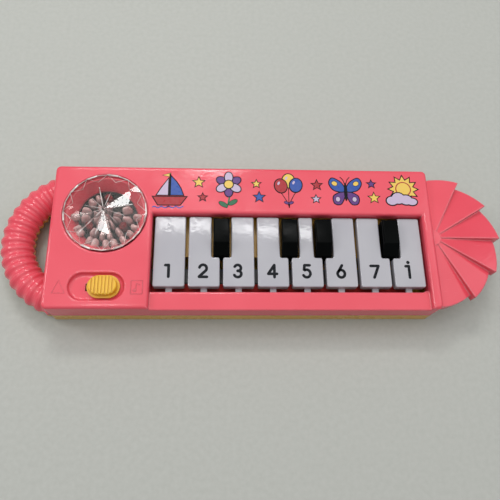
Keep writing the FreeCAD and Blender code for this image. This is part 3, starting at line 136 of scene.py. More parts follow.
tree, taken, given = shader_group(
    "moulded_skin",
    {"Colour": "Color", "Deep Colour": "Color", "Cloud Scale": "Float", "Gloss": "Float", "Dull": "Float"},
    {"Colour": "Color", "Roughness": "Float", "Height": "Float"})
clouded = spread(tree, speckle(tree, taken["Cloud Scale"]), low=0.35, high=0.68)
connect(tree, tint(tree, clouded, taken["Colour"], taken["Deep Colour"]), given["Colour"])
smudge = speckle(tree, scale=120.0, detail=5.0, stretch=(1, 0.6, 1), turn=0.5)
handled = spread(tree, smudge, low=0.38, high=0.66, start=taken["Gloss"], end=taken["Dull"])
connect(tree, handled, given["Roughness"])
connect(tree, speckle(tree, scale=420.0, detail=3.0), given["Height"])
moulded_skin = tree

tree, taken, given = shader_group("fine_scratches", {"Amount": "Float"}, {"Mask": "Float"})
hairs = []
for hair_turn in (0.5, -0.9):
    hair = speckle(tree, scale=1.0, stretch=(60, 3200, 900), turn=hair_turn)
    hairs.append(spread(tree, hair, low=0.70, high=0.75))
patch = spread(tree, speckle(tree, scale=35.0), low=0.5, high=0.66)
both = reckon(tree, "MULTIPLY", reckon(tree, "MAXIMUM", *hairs), patch)
connect(tree, reckon(tree, "MULTIPLY", both, taken["Amount"]), given["Mask"])
fine_scratches = tree

tree, taken, given = shader_group("softened_edges", {"Radius": "Float"},
                                  {"Mask": "Float", "Normal": "Vector"})
eased = place(tree, "Bevel", {"samples": 6}, Radius=taken["Radius"]).outputs[0]
plain = place(tree, "NewGeometry").outputs["Normal"]
square_on = reckon(tree, "DOT_PRODUCT", eased, plain, kind="VectorMath", result="Value")
connect(tree, spread(tree, square_on, low=0.995, high=0.90), given["Mask"])
connect(tree, eased, given["Normal"])
softened_edges = tree


def new_finish(name):
    """A material with its node tree and its Principled shader."""
    finish = bpy.data.materials.new(name)
    finish.use_nodes = True
    return finish, finish.node_tree, finish.node_tree.nodes["Principled BSDF"]


# Share of the pale edge colour: partly edge wear, partly a painted highlight along convex and concave edges
# alike.
EDGE_WEAR_AND_HIGHLIGHT = 0.35
SCRATCH_WEAR = 0.3
SCRATCH_DULLING = 0.15


def moulded_plastic(name, colour, deep, pale_edge, gloss, dull, clouds=40.0, edge=0.0004, scratches=0.5,
                    peel=0.00002, shine=0.5):
    """Moulded plastic: flow clouds, handling smudges, hair scratches, and edges painted paler, partly as worn
    edges and partly as a painted highlight.
    """
    finish, tree, shader = new_finish(name)
    skin = use(tree, moulded_skin, Colour=(*colour, 1), Deep_Colour=(*deep, 1), Cloud_Scale=clouds,
               Gloss=gloss, Dull=dull)
    corner = use(tree, softened_edges, Radius=edge)
    scratch = use(tree, fine_scratches, Amount=scratches)["Mask"]
    scraped = reckon(tree, "MULTIPLY", scratch, SCRATCH_WEAR)
    wear_and_edge_highlight = reckon(tree, "MULTIPLY_ADD", corner["Mask"], EDGE_WEAR_AND_HIGHLIGHT, scraped)
    dulled = reckon(tree, "MULTIPLY_ADD", scratch, SCRATCH_DULLING, skin["Roughness"])
    grained = relief(tree, skin["Height"], strength=0.5, depth=peel, Normal=corner["Normal"])
    feed(tree, shader, {"Base Color": tint(tree, wear_and_edge_highlight, skin["Colour"], (*pale_edge, 1)), "Roughness": dulled,
                        "Specular IOR Level": shine, "Normal": grained})
    return finish


def coat(finish, *names):
    """Gives CAD nodes their finish."""
    for name in names:
        nodes[name].data.materials.clear()
        nodes[name].data.materials.append(finish)


# The housing's yellow is set a little darker than the knob's, partly as painted shade for its edge, which
# stands in the shade of the pink lip.
yellow_abs = moulded_plastic("yellow_abs", colour=(0.65, 0.36, 0.05), deep=(0.59, 0.31, 0.04),
                             pale_edge=(0.78, 0.52, 0.15), gloss=0.22, dull=0.38)
coat(yellow_abs, "bottom_housing")


# Loudspeaker: a small round driver that rests over the slots in the floor.
# The basket is pressed steel, the magnet dark ferrite, and the cone grey paper pulp glued in at its rim.
tree, taken, given = shader_group(
    "drawn_grain",
    {"Colour": "Color", "Deep Colour": "Color", "Stretch": "Vector", "Gloss": "Float", "Dull": "Float"},
    {"Colour": "Color", "Roughness": "Float", "Height": "Float"})
streak = speckle(tree, scale=900.0, detail=4.0, stretch=taken["Stretch"])
tarnish = spread(tree, speckle(tree, scale=150.0, detail=4.0), low=0.4, high=0.7)
mottled = reckon(tree, "MULTIPLY_ADD", streak, 0.5, reckon(tree, "MULTIPLY", tarnish, 0.5))
connect(tree, tint(tree, mottled, taken["Colour"], taken["Deep Colour"]), given["Colour"])
polish = spread(tree, mottled, low=0.15, high=0.75, start=taken["Gloss"], end=taken["Dull"])
connect(tree, polish, given["Roughness"])
connect(tree, streak, given["Height"])
drawn_grain = tree

RUBBED_STEEL = (0.9, 0.89, 0.87, 1)
EDGE_SHINE = 0.6
STEEL_EDGE = 0.0002


def plated_metal(name, colour, deep, stretch, gloss, dull):
    """Drawn, pressed or plated steel with grain along one way, tarnish clouds and bright rubbed edges."""
    finish, tree, shader = new_finish(name)
    grain = use(tree, drawn_grain, Colour=(*colour, 1), Deep_Colour=(*deep, 1), Stretch=stretch,
                Gloss=gloss, Dull=dull)
    corner = use(tree, softened_edges, Radius=STEEL_EDGE)
    grained = relief(tree, grain["Height"], strength=0.4, depth=0.00001, Normal=corner["Normal"])
    bright = reckon(tree, "MULTIPLY", corner["Mask"], EDGE_SHINE)
    feed(tree, shader, {"Base Color": tint(tree, bright, grain["Colour"], RUBBED_STEEL),
                        "Roughness": grain["Roughness"], "Normal": grained, "Metallic": 1.0})
    return finish


WELD_GAP = 0.00001
SHARP_ANGLE = radians(50)


def ease_edges(*names, width):
    """Breaks the sharp edges of box-like CAD nodes with a small rounded bevel."""
    for name in names:
        nodes[name].modifiers.new("joined", "WELD").merge_threshold = WELD_GAP
        edge = nodes[name].modifiers.new("eased", "BEVEL")
        edge.width = width
        edge.segments = 2
        edge.limit_method = "ANGLE"
        edge.angle_limit = SHARP_ANGLE


pressed_steel = plated_metal("pressed_steel", colour=(0.55, 0.54, 0.52), deep=(0.34, 0.33, 0.32),
                             stretch=(1, 1, 6), gloss=0.25, dull=0.45)
coat(pressed_steel, "speaker_basket")
ferrite = moulded_plastic("ferrite", colour=(0.035, 0.034, 0.036), deep=(0.02, 0.02, 0.022),
                          pale_edge=(0.12, 0.11, 0.11), gloss=0.45, dull=0.7, clouds=200.0)
coat(ferrite, "speaker_magnet")
ease_edges("speaker_magnet", width=0.00025)


def middle(name):
    """The middle of a node's box, in millimetres."""
    low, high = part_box(name)
    return (low + high) / 2 / MM


CONE_RIPPLE = 0.0012
paper_pulp, tree, shader = new_finish("paper_pulp")
cone_x, cone_y, _ = middle("speaker_cone")
cone_axis = (cone_x * MM, cone_y * MM, 0)
flat = reckon(tree, "MULTIPLY", own_place(tree), (1, 1, 0), kind="VectorMath")
from_axis = reckon(tree, "DISTANCE", flat, cone_axis, kind="VectorMath", result="Value")
rings = reckon(tree, "SINE", reckon(tree, "MULTIPLY", from_axis, 2 * pi / CONE_RIPPLE))
fibres = speckle(tree, scale=900.0, detail=6.0, stretch=(1, 1.8, 1))
pulp = tint(tree, spread(tree, fibres, low=0.3, high=0.7), (0.10, 0.10, 0.105, 1), (0.24, 0.235, 0.23, 1))
rippled = reckon(tree, "MULTIPLY_ADD", rings, 0.5, fibres)
feed(tree, shader, {"Base Color": pulp,
                    "Roughness": spread(tree, fibres, low=0.2, high=0.8, start=0.7, end=0.95),
                    "Normal": relief(tree, rippled, strength=0.7, depth=0.0001)})
coat(paper_pulp, "speaker_cone")


# Battery well: two AAA cells in line, with a coil spring at one end and a flat plate at the other.
# The cells are steel cans in a printed shrink sleeve, and the contacts bright plated spring steel.
bright_contact = plated_metal("bright_contact", colour=(0.78, 0.77, 0.74), deep=(0.58, 0.56, 0.52),
                              stretch=(4, 4, 1), gloss=0.15, dull=0.3)
coat(bright_contact, "battery_spring", "battery_plate")
ease_edges("battery_plate", width=0.00012)


def banded(tree, value, bands):
    """Plain bands of colour along a value, each from its own start to the next one's."""
    made = place(tree, "ValToRGB", Fac=value)
    stops = made.color_ramp.elements
    made.color_ramp.interpolation = "CONSTANT"
    for index, (start, colour) in enumerate(bands):
        stop = stops[0] if index == 0 else stops.new(start)
        stop.position = start
        stop.color = (*colour, 1)
    stops.remove(stops[-1])
    return made.outputs[0]


CELLS = 2
SLEEVE_START = 0.035
SLEEVE_END = 0.955
CAN_STEEL = (0.62, 0.61, 0.59)
SLEEVE_DARK = (0.03, 0.035, 0.05)
SLEEVE_LINE = (0.66, 0.66, 0.64)
SLEEVE_COPPER = (0.62, 0.30, 0.06)
BARE = (1, 1, 1)
COVERED = (0, 0, 0)
cell_sleeve, tree, shader = new_finish("cell_sleeve")
cells_low, cells_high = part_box("battery_cells")
cell_length = (cells_high.x - cells_low.x) / CELLS
length_along = place(tree, "SeparateXYZ", Vector=own_place(tree)).outputs["X"]
from_end = reckon(tree, "DIVIDE", reckon(tree, "SUBTRACT", length_along, cells_low.x), cell_length)
share_along = reckon(tree, "FRACT", from_end)
printed = banded(tree, share_along, ((0.0, CAN_STEEL), (SLEEVE_START, SLEEVE_DARK), (0.16, SLEEVE_LINE),
                                     (0.19, SLEEVE_DARK), (0.70, SLEEVE_COPPER), (SLEEVE_END, CAN_STEEL)))
bare_steel = banded(tree, share_along, ((0.0, BARE), (SLEEVE_START, COVERED), (SLEEVE_END, BARE)))
creases = speckle(tree, scale=260.0, detail=4.0, stretch=(0.3, 1, 1))
feed(tree, shader, {"Base Color": printed, "Metallic": bare_steel,
                    "Roughness": spread(tree, creases, low=0.3, high=0.7, start=0.2, end=0.4),
                    "Normal": relief(tree, creases, strength=0.3, depth=0.00005)})
coat(cell_sleeve, "battery_cells")


# Main board and its parts: a green circuit board screwed to posts under the key fronts.
# It carries a resin-covered sound chip, two film resistors, a capacitor and a transistor.
solder_mask, tree, shader = new_finish("solder_mask")
tracks = place(tree, "TexBrick",
               {"offset": 0.37, "offset_frequency": 3, "squash": 0.6, "squash_frequency": 2},
               Vector=own_place(tree), Scale=170.0, Brick_Width=0.9, Row_Height=0.22, Mortar_Size=0.09,
               Mortar_Smooth=0.2, Color1=(0, 0, 0, 1), Color2=(0, 0, 0, 1), Mortar=(1, 1, 1, 1))
dots = place(tree, "TexVoronoi", Vector=own_place(tree), Scale=320.0, Randomness=0.45).outputs["Distance"]
pads = spread(tree, dots, low=0.23, high=0.20)
routed = spread(tree, speckle(tree, scale=60.0), low=0.42, high=0.5)
copper = reckon(tree, "MULTIPLY", tracks.outputs["Color"], routed)
green = tint(tree, copper, (0.012, 0.13, 0.045, 1), (0.05, 0.30, 0.11, 1))
soldered = reckon(tree, "MULTIPLY", pads, spread(tree, speckle(tree, scale=45.0), low=0.56, high=0.6))
built_up = reckon(tree, "MULTIPLY_ADD", soldered, 3.0, copper)
smears = speckle(tree, scale=300.0)
feed(tree, shader, {"Base Color": tint(tree, soldered, green, (0.62, 0.62, 0.60, 1)), "Metallic": soldered,
                    "Roughness": spread(tree, smears, low=0.3, high=0.7, start=0.25, end=0.4),
                    "Normal": relief(tree, built_up, strength=0.6, depth=0.00006)})
coat(solder_mask, "main_board")
black_resin = moulded_plastic("black_resin", colour=(0.022, 0.022, 0.024), deep=(0.012, 0.012, 0.013),
                              pale_edge=(0.10, 0.10, 0.10), gloss=0.3, dull=0.5, clouds=180.0)
coat(black_resin, "sound_chip", "board_resistors", "board_transistor")
ease_edges("board_resistors", "board_transistor", width=0.00012)
blue_sleeve = moulded_plastic("blue_sleeve", colour=(0.02, 0.045, 0.16), deep=(0.014, 0.03, 0.11),
                              pale_edge=(0.2, 0.25, 0.4), gloss=0.2, dull=0.35, clouds=150.0)
coat(blue_sleeve, "board_capacitor")
zinc_screws = plated_metal("zinc_screws", colour=(0.66, 0.66, 0.65), deep=(0.45, 0.45, 0.44),
                           stretch=(1, 1, 5), gloss=0.2, dull=0.4)
coat(zinc_screws, "board_screws")


# Mode switch: a slide switch in a folded tin case on the board, with a black nylon actuator.
# Its solder tags hold it, and the knob's stem sits over the actuator.
tinned_case = plated_metal("tinned_case", colour=(0.70, 0.69, 0.67), deep=(0.5, 0.5, 0.48),
                           stretch=(5, 1, 1), gloss=0.22, dull=0.4)
coat(tinned_case, "switch_body")
black_nylon = moulded_plastic("black_nylon", colour=(0.03, 0.03, 0.031), deep=(0.02, 0.02, 0.02),
                              pale_edge=(0.12, 0.12, 0.12), gloss=0.4, dull=0.55, clouds=150.0)
coat(black_nylon, "switch_actuator")
ease_edges("switch_body", "switch_actuator", width=0.0002)


# Contact strip: a grey silicone rubber strip laid on the board, moulded with one hollow dome under each key.
# A pressed key flattens its dome, which closes the contact on the board and then lifts the key again.
grey_rubber = moulded_plastic("grey_rubber", colour=(0.23, 0.235, 0.24), deep=(0.17, 0.175, 0.18),
                              pale_edge=(0.34, 0.34, 0.34), gloss=0.6, dull=0.8, clouds=90.0, edge=0.0003,
                              scratches=0.2, peel=0.00004)
coat(grey_rubber, "contact_strip")


def piece_from(mesh, name, body, *finishes):
    """Turns a finished bmesh into a named piece that rides on a body."""
    bmesh.ops.recalc_face_normals(mesh, faces=mesh.faces)
    data = bpy.data.meshes.new(name)
    mesh.to_mesh(data)
    mesh.free()
    for finish in finishes:
        data.materials.append(finish)
    made = bpy.data.objects.new(name, data)
    scene.collection.objects.link(made)
    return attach(made, body)


def walls(mesh, rows, smooth=False):
    """Faces from each closed row of points to the next."""
    faces = [mesh.faces.new((here[a - 1], here[a], there[a], there[a - 1]))
             for here, there in zip(rows, rows[1:]) for a in range(len(here))]
    for face in faces:
        face.smooth = smooth
    return faces


def closed_form(mesh, rows, smooth=False):
    """Walls from each closed row of points to the next, with a flat face at both ends."""
    return walls(mesh, rows, smooth) + [mesh.faces.new(rows[0][::-1]), mesh.faces.new(rows[-1])]


EDGE_EASE = 0.3
FRONT_WAVES = 1.7
REAR_WAVES = 2.3


def laid_strip(left, right, front, rear, foot, thick, waver, steps=106):
    """A long flat strip with eased edges, cut a little wavy along its sides."""
    mesh, rows = bmesh.new(), []
    ease = EDGE_EASE * thick
    for step in range(steps + 1):
        x = left + (right - left) * step / steps
        near = front + waver * sin(FRONT_WAVES * step)
        far = rear + waver * sin(REAR_WAVES * step)
        section = ((near, 0.0), (near, thick - ease), (near + ease, thick),
                   (far - ease, thick), (far, thick - ease), (far, 0.0))
        rows.append([mesh.verts.new((x * MM, y * MM, (foot + up) * MM)) for y, up in section])
    closed_form(mesh, rows)
    return mesh


def turned(x, y, foot, profile, steps=36):
    """A turned shape on an upright axis, from points of radius and height that begin and end on the axis."""
    mesh = bmesh.new()
    turns = [2 * pi * step / steps for step in range(steps)]
    tips = [mesh.verts.new((x * MM, y * MM, (foot + rise) * MM)) for _, rise in (profile[0], profile[-1])]
    rings = []
    for reach, rise in profile[1:-1]:
        rings.append([mesh.verts.new(((x + reach * cos(turn)) * MM, (y + reach * sin(turn)) * MM,
                                      (foot + rise) * MM)) for turn in turns])
    walls(mesh, rings, smooth=True)
    for a in range(steps):
        mesh.faces.new((tips[0], rings[0][a - 1], rings[0][a]))
        mesh.faces.new((tips[1], rings[-1][a], rings[-1][a - 1]))
    return mesh


board_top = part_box("main_board")[1].z / MM
strip_low, strip_high = (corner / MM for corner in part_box("contact_strip"))
SHEET_THICK = 0.8
KEYS = 8
DOME_PROFILE = ((0.0, 2.8), (0.8, 2.8), (0.95, 2.65), (1.9, 0.0), (2.96, 0.0), (2.96, 0.8), (2.75, 1.5),
                (1.85, 3.3), (1.6, 3.55), (1.2, 3.6), (0.0, 3.6))
sheet = laid_strip(strip_low.x, strip_high.x, strip_low.y, strip_high.y, board_top, SHEET_THICK, waver=0.0)
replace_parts(piece_from(sheet, "contact_sheet", "case", grey_rubber), "contact_strip")
for number in range(1, KEYS + 1):
    x, y = middle(f"white_key_{number}").x, (strip_low.y + strip_high.y) / 2
    dome = piece_from(turned(x, y, board_top, DOME_PROFILE), f"contact_dome_{number}", "case", grey_rubber)
    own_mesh(dome)


# Key felt: a dark red strip laid on the board under the key fronts, as painted shade: its dark red stands in
# for the shaded pink inside that shows through the gap in front of the keys.
# It is cut from sheet, a little wavy along its edges.
red_painted_shade, tree, shader = new_finish("red_painted_shade")
wool = speckle(tree, scale=1600.0, detail=6.0, stretch=(1, 1.6, 1))
nap = spread(tree, speckle(tree, scale=240.0, detail=3.0), low=0.3, high=0.7)
carded = spread(tree, wool, low=0.3, high=0.7)
mixed_wool = tint(tree, carded, (0.46, 0.014, 0.012, 1), (0.62, 0.035, 0.024, 1))
feed(tree, shader, {"Base Color": tint(tree, nap, mixed_wool, (0.40, 0.012, 0.012, 1)), "Sheen Weight": 0.4,
                    "Roughness": spread(tree, wool, low=0.2, high=0.8, start=0.8, end=1.0),
                    "Normal": relief(tree, wool, strength=0.8, depth=0.0002)})
FELT_PAST_STRIP = 2.42
FELT_END_INSET = 0.33
FELT_GAP = 0.25
FELT_WIDE = 3.65
FELT_THICK = 0.6
FELT_WAVER = 0.065
felt_left = strip_low.x - FELT_PAST_STRIP
felt_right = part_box("main_board")[1].x / MM - FELT_END_INSET
felt_rear = strip_low.y - FELT_GAP
felt = laid_strip(felt_left, felt_right, felt_rear - FELT_WIDE, felt_rear, board_top, FELT_THICK, FELT_WAVER)
piece_from(felt, "key_gap_painted_shade", "case", red_painted_shade)


# Key frame: a yellow moulded bar under the keys, screwed to posts in the floor.
# It holds the steel hinge rod at the back and the pegs of the black caps.
frame_plastic = moulded_plastic("frame_plastic", colour=(0.70, 0.38, 0.055), deep=(0.62, 0.32, 0.04),
                                pale_edge=(0.82, 0.55, 0.18), gloss=0.28, dull=0.45)
coat(frame_plastic, "key_frame")
bright_steel = plated_metal("bright_steel", colour=(0.72, 0.72, 0.71), deep=(0.55, 0.55, 0.55),
                            stretch=(1, 8, 8), gloss=0.12, dull=0.25)
coat(bright_steel, "key_hinge_rod")
coat(zinc_screws, "frame_screws")


# White keys: eight separate levers in glossy white polystyrene, turning on the hinge rod.
# Each has its number printed in black near the front edge; the last has a dot above its 1.
key_white = moulded_plastic("key_white", colour=(0.405, 0.40, 0.43), deep=(0.37, 0.366, 0.40),
                            pale_edge=(0.54, 0.54, 0.56), gloss=0.03, dull=0.09, clouds=60.0, edge=0.0003,
                            scratches=0.35, peel=0.00004)


def printed_ink(name, colour, paler, grain, thin_from, gloss, dull, shine):
    """A thin film of ink, paler and duller where the film is thin."""
    finish, tree, shader = new_finish(name)
    thin = spread(tree, speckle(tree, scale=grain, detail=5.0), low=thin_from, high=0.75)
    feed(tree, shader, {"Base Color": tint(tree, thin, (*colour, 1), (*paler, 1)),
                        "Roughness": spread(tree, thin, start=gloss, end=dull), "Specular IOR Level": shine,
                        "Normal": relief(tree, thin, strength=0.3, depth=0.00001)})
    return finish


black_ink = printed_ink("black_ink", colour=(0.004, 0.005, 0.007), paler=(0.016, 0.018, 0.022), grain=900.0,
                        thin_from=0.35, gloss=0.4, dull=0.6, shine=0.1)


def arc(x, y, wide, high, first, last, steps=14):
    """Points along part of an oval, from one angle to another in degrees."""
    turns = [radians(first + (last - first) * step / steps) for step in range(steps + 1)]
    return [(x + wide * cos(turn), y + high * sin(turn)) for turn in turns]


ROUND_END = [radians(angle) for angle in (40, 70, 88)]


def ribbon(mesh, points, width, low, high, ink=0, closed=False):
    """A printed or raised line: a flat strip along the points, with round ends unless it meets itself."""
    half = [width / 2] * len(points)
    if not closed:
        thinner = [width / 2 * cos(turn) for turn in ROUND_END]
        past = [width / 2 * sin(turn) for turn in ROUND_END]
        for end, inward in ((0, 1), (-1, -2)):
            (x, y), (nx, ny) = points[end], points[inward]
            away = hypot(x - nx, y - ny)
            cap = [(x + (x - nx) / away * reach, y + (y - ny) / away * reach) for reach in past]
            if end == 0:
                points, half = cap[::-1] + points, thinner[::-1] + half
            else:
                points, half = points + cap, half + thinner
    count, rows = len(points), []
    for index, (x, y) in enumerate(points):
        before = points[(index - 1) % count] if closed or index > 0 else points[index]
        after = points[(index + 1) % count] if closed or index < count - 1 else points[index]
        angle = atan2(after[1] - before[1], after[0] - before[0])
        side = (-sin(angle) * half[index], cos(angle) * half[index])
        rows.append([mesh.verts.new(((x + sign * side[0]) * MM, (y + sign * side[1]) * MM, level * MM))
                     for sign, level in ((1, low), (-1, low), (-1, high), (1, high))])
    faces = walls(mesh, rows + rows[:1]) if closed else closed_form(mesh, rows)
    for face in faces:
        face.material_index = ink


STEM = [[(-0.30, 0.955), (0.08, 0.965)], [(0.08, 0.965), (0.08, 0.0)]]
NUMBERS = (
    STEM,
    [arc(0.0, 0.70, 0.42, 0.30, 165, -32) + [(-0.44, 0.02)], [(-0.44, 0.0), (0.46, 0.0)]],
    [arc(-0.02, 0.745, 0.38, 0.255, 155, -90), arc(-0.02, 0.255, 0.42, 0.265, 90, -158)],
    [[(0.22, 1.0), (0.22, 0.0)], [(0.22, 1.0), (-0.50, 0.27)], [(-0.50, 0.27), (0.52, 0.27)]],
    [[(-0.26, 1.0), (0.34, 1.0)], [(-0.26, 1.0), (-0.34, 0.56)] + arc(-0.04, 0.31, 0.44, 0.32, 128, -152)],
    [[(0.14, 1.0), (-0.34, 0.44)] + arc(0.0, 0.30, 0.43, 0.31, 150, 492, 26)],
    [[(-0.46, 0.97), (0.46, 0.97)], [(0.46, 0.97), (-0.12, 0.0)]],
    STEM,
)
NUMBER_UP = 7.15
NUMBER_HIGH = 5.0
NUMBER_WIDE = 3.4
NUMBER_ASIDE = 0.35
NUMBER_LINE = 1.15
NUMBER_SINK = 0.02
NUMBER_RISE = 0.03
STROKE_STEP = 0.004
DOT_ASIDE = 0.1
DOT_UP = 1.28 * NUMBER_HIGH
DOT_RADIUS = 0.36
DOT_LINE = 0.7
for index, strokes in enumerate(NUMBERS):
    key = f"white_key_{index + 1}"
    coat(key_white, key)
    low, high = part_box(key)
    centre, foot, top = (low.x + high.x) / 2 / MM - NUMBER_ASIDE, low.y / MM + NUMBER_UP, high.z / MM
    number = bmesh.new()
    for layer, stroke in enumerate(strokes):
        line = [(centre + x * NUMBER_WIDE, foot + y * NUMBER_HIGH) for x, y in stroke]
        ribbon(number, line, NUMBER_LINE, top - NUMBER_SINK, top + NUMBER_RISE + STROKE_STEP * layer)
    if index == len(NUMBERS) - 1:
        dot = arc(centre + DOT_ASIDE, foot + DOT_UP, DOT_RADIUS, DOT_RADIUS, 0, 345, 23)
        ribbon(number, dot, DOT_LINE, top - NUMBER_SINK, top + NUMBER_RISE, closed=True)
    piece_from(number, f"key_number_{index + 1}", key, black_ink)


# Black caps: four short sharps in glossy black polystyrene, pressed on pegs of the key frame.
# They don't move, and their tops fall away at the front.
BLACK_CAPS = 4
key_black = moulded_plastic("key_black", colour=(0.0020, 0.0025, 0.0025), deep=(0.0012, 0.0015, 0.0015),
                            pale_edge=(0.012, 0.013, 0.013), gloss=0.06, dull=0.14, clouds=90.0,
                            scratches=0.4, shine=0.03)
coat(key_black, *(f"black_key_{number}" for number in range(1, BLACK_CAPS + 1)))


# Lamp: a round dark board at the bottom of the funnel, with rings of milky light guides and three red lamps.
# The lens above them is polished acrylic with cut facets, pressed into the well in the panel.
dark_mask = moulded_plastic("dark_mask", colour=(0.010, 0.020, 0.014), deep=(0.005, 0.008, 0.007),
                            pale_edge=(0.04, 0.05, 0.04), gloss=0.6, dull=0.8, clouds=150.0, shine=0.05)
coat(dark_mask, "lamp_board")
milky_white = moulded_plastic("milky_white", colour=(0.62, 0.49, 0.48), deep=(0.34, 0.22, 0.215),
                              pale_edge=(0.80, 0.72, 0.71), gloss=0.2, dull=0.4, clouds=260.0, edge=0.0003,
                              scratches=0.2)
PILLOW_LIFTS = [radians(angle) for angle in (0, 24, 46, 66, 82)]
PILLOW_STEPS = 24


def light_guide(mesh, x, y, heading, half_long, half_wide, foot, rise):
    """A rounded long pillow standing on the board, pointing away from the lamp's middle."""
    rows = []
    for lift in PILLOW_LIFTS:
        reach, level = half_wide * cos(lift), foot + rise * sin(lift)
        row = []
        for step in range(PILLOW_STEPS):
            turn = 2 * pi * step / PILLOW_STEPS
            u, v = half_long * (1 if cos(turn) > 0 else -1) + reach * cos(turn), reach * sin(turn)
            row.append(mesh.verts.new(((x + u * cos(heading) - v * sin(heading)) * MM,
                                       (y + u * sin(heading) + v * cos(heading)) * MM, level * MM)))
        rows.append(row)
    closed_form(mesh, rows, smooth=True)


def guide_ring(radius, first, pitch, places, half_long, half_wide, rise, lift=0.0):
    """One ring of light guides, by their turns in degrees about the lamp's middle."""
    return [(radius, first + pitch * step, half_long, half_wide, rise, lift) for step in places]


lamp_x, lamp_y, _ = middle("light_lens")
lamp_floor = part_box("lamp_board")[1].z / MM
inner_ring = guide_ring(radius=3.6, first=90.0, pitch=36.0, places=range(9),
                        half_long=0.9, half_wide=0.85, rise=4.6)
middle_ring = guide_ring(radius=7.9, first=114.0, pitch=24.0, places=(0, 1, 2, 3, 5, 6, 7, 8, 10, 11),
                         half_long=0.75, half_wide=1.3, rise=4.4)
outer_ring = guide_ring(radius=12.1, first=186.0, pitch=17.0, places=range(11),
                        half_long=0.7, half_wide=1.35, rise=2.6, lift=2.2)
UNEVEN_SIZE = 0.14
SIZE_WAVES = 5.3
UNEVEN_TURN = 3.5
TURN_WAVES = 2.9
guides = bmesh.new()
light_guide(guides, lamp_x, lamp_y, heading=0.0, half_long=0.0, half_wide=1.25, foot=lamp_floor, rise=4.9)
for step, guide in enumerate(inner_ring + middle_ring + outer_ring):
    radius, turn, half_long, half_wide, rise, lift = guide
    uneven = 1.0 + UNEVEN_SIZE * sin(SIZE_WAVES * step)
    heading = radians(turn + UNEVEN_TURN * sin(TURN_WAVES * step))
    light_guide(guides, lamp_x + radius * cos(heading), lamp_y + radius * sin(heading), heading,
                half_long, half_wide * uneven, lamp_floor + lift, rise * uneven)
light_guides = piece_from(guides, "lamp_light_guides", "case", milky_white)
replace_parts(light_guides, "lamp_diffuser")

red_resin, tree, shader = new_finish("red_resin")
swirl = spread(tree, speckle(tree, scale=350.0, detail=3.0), low=0.3, high=0.7)
feed(tree, shader, {"Base Color": tint(tree, swirl, (0.34, 0.012, 0.016, 1), (0.20, 0.006, 0.010, 1)),
                    "Roughness": spread(tree, swirl, start=0.08, end=0.2), "Transmission Weight": 0.35,
                    "IOR": 1.5})
coat(red_resin, "lamp_leds")

clear_acrylic, tree, shader = new_finish("clear_acrylic")
smear = spread(tree, speckle(tree, scale=160.0, detail=4.0, stretch=(1, 0.5, 1), turn=0.8), low=0.4, high=0.7)
feed(tree, shader, {"Base Color": tint(tree, smear, (0.83, 0.76, 0.745, 1), (0.74, 0.67, 0.655, 1)),
                    "Roughness": spread(tree, smear, start=0.005, end=0.03), "Transmission Weight": 1.0,
                    "IOR": 1.49, "Specular IOR Level": 0.13})
let_through = place(tree, "BsdfTransparent", Color=(0.93, 0.92, 0.92, 1))
either = place(tree, "MixShader", Fac=place(tree, "LightPath").outputs["Is Shadow Ray"])
tree.links.new(shader.outputs[0], either.inputs[1])
tree.links.new(let_through.outputs[0], either.inputs[2])
tree.links.new(either.outputs[0], tree.nodes["Material Output"].inputs["Surface"])
coat(clear_acrylic, "light_lens")
ease_edges("light_lens", width=0.00016)

# Pale beads on the lens's spokes, facet edges and rim are painted glints: their white and their darker
# brownish patches stand in for light and reflections caught by the cut facets.
painted_glint = moulded_plastic("painted_glint", colour=(0.92, 0.88, 0.86), deep=(0.26, 0.14, 0.13),
                                pale_edge=(0.92, 0.88, 0.86), gloss=0.1, dull=0.3, clouds=260.0, edge=0.0001,
                                scratches=0.2)
FACETS = 12
FACET_RING = 0.79
GIRDLE_RISE = 0.5
BEAD_RISE = 0.2
panel_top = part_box("top_housing")[1].z / MM
girdle_top = panel_top + GIRDLE_RISE
lens_low, lens_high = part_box("light_lens")
lens_radius, lens_top = (lens_high.x - lens_low.x) / 2 / MM, lens_high.z / MM
ring_top = lens_top - (lens_top - girdle_top) * FACET_RING * cos(pi / FACETS)


def on_lens(turns, share, level):
    """A point on the lens, by facet steps round it and by its share of the radius."""
    turn = 2 * pi * turns / FACETS
    return Vector((lamp_x + share * lens_radius * cos(turn), lamp_y + share * lens_radius * sin(turn), level))


def glint_bead(mesh, start, end, width):
    """A thin three-sided pale bead along one edge between facets: a painted glint of the light caught on that
    edge.
    """
    across = (end - start).cross(Vector((0, 0, 1))).normalized() * width / 2
    section = (across, -across, Vector((0, 0, BEAD_RISE * width)))
    closed_form(mesh, [[mesh.verts.new((at + offset) * MM) for offset in section] for at in (start, end)])


SPOKE_WIDTHS = (0.40, 0.24, 0.22, 0.36, 0.18, 0.22, 0.20, 0.48, 0.36, 0.26, 0.20, 0.24)
SPOKE_START = 0.05
SPOKE_REACH = 0.3
SPOKE_GAIN = 1.4
KITE_WIDTHS = (0.20, 0.14)
RIM_WIDTHS = (0.6, 0.28, 0.75, 0.35, 0.5, 0.85, 0.3)
RIM_SHARE = 0.985
RIM_PIECE = 0.48
edges = bmesh.new()
apex = on_lens(0, 0.0, lens_top)
for index, width in enumerate(SPOKE_WIDTHS):
    corner = on_lens(index + 0.5, FACET_RING, ring_top)
    glint_bead(edges, apex.lerp(corner, SPOKE_START), apex.lerp(corner, SPOKE_REACH + SPOKE_GAIN * width), width)
    for side, kite_width in enumerate(KITE_WIDTHS):
        glint_bead(edges, corner, on_lens(index + side, 1.0, girdle_top), kite_width)
    for half in (0, 1):
        rim_start = on_lens(index + half / 2, RIM_SHARE, girdle_top)
        rim_end = on_lens(index + half / 2 + RIM_PIECE, RIM_SHARE, girdle_top)
        glint_bead(edges, rim_start, rim_end, RIM_WIDTHS[(2 * index + half) % len(RIM_WIDTHS)])
piece_from(edges, "lens_painted_glints", "case", painted_glint)
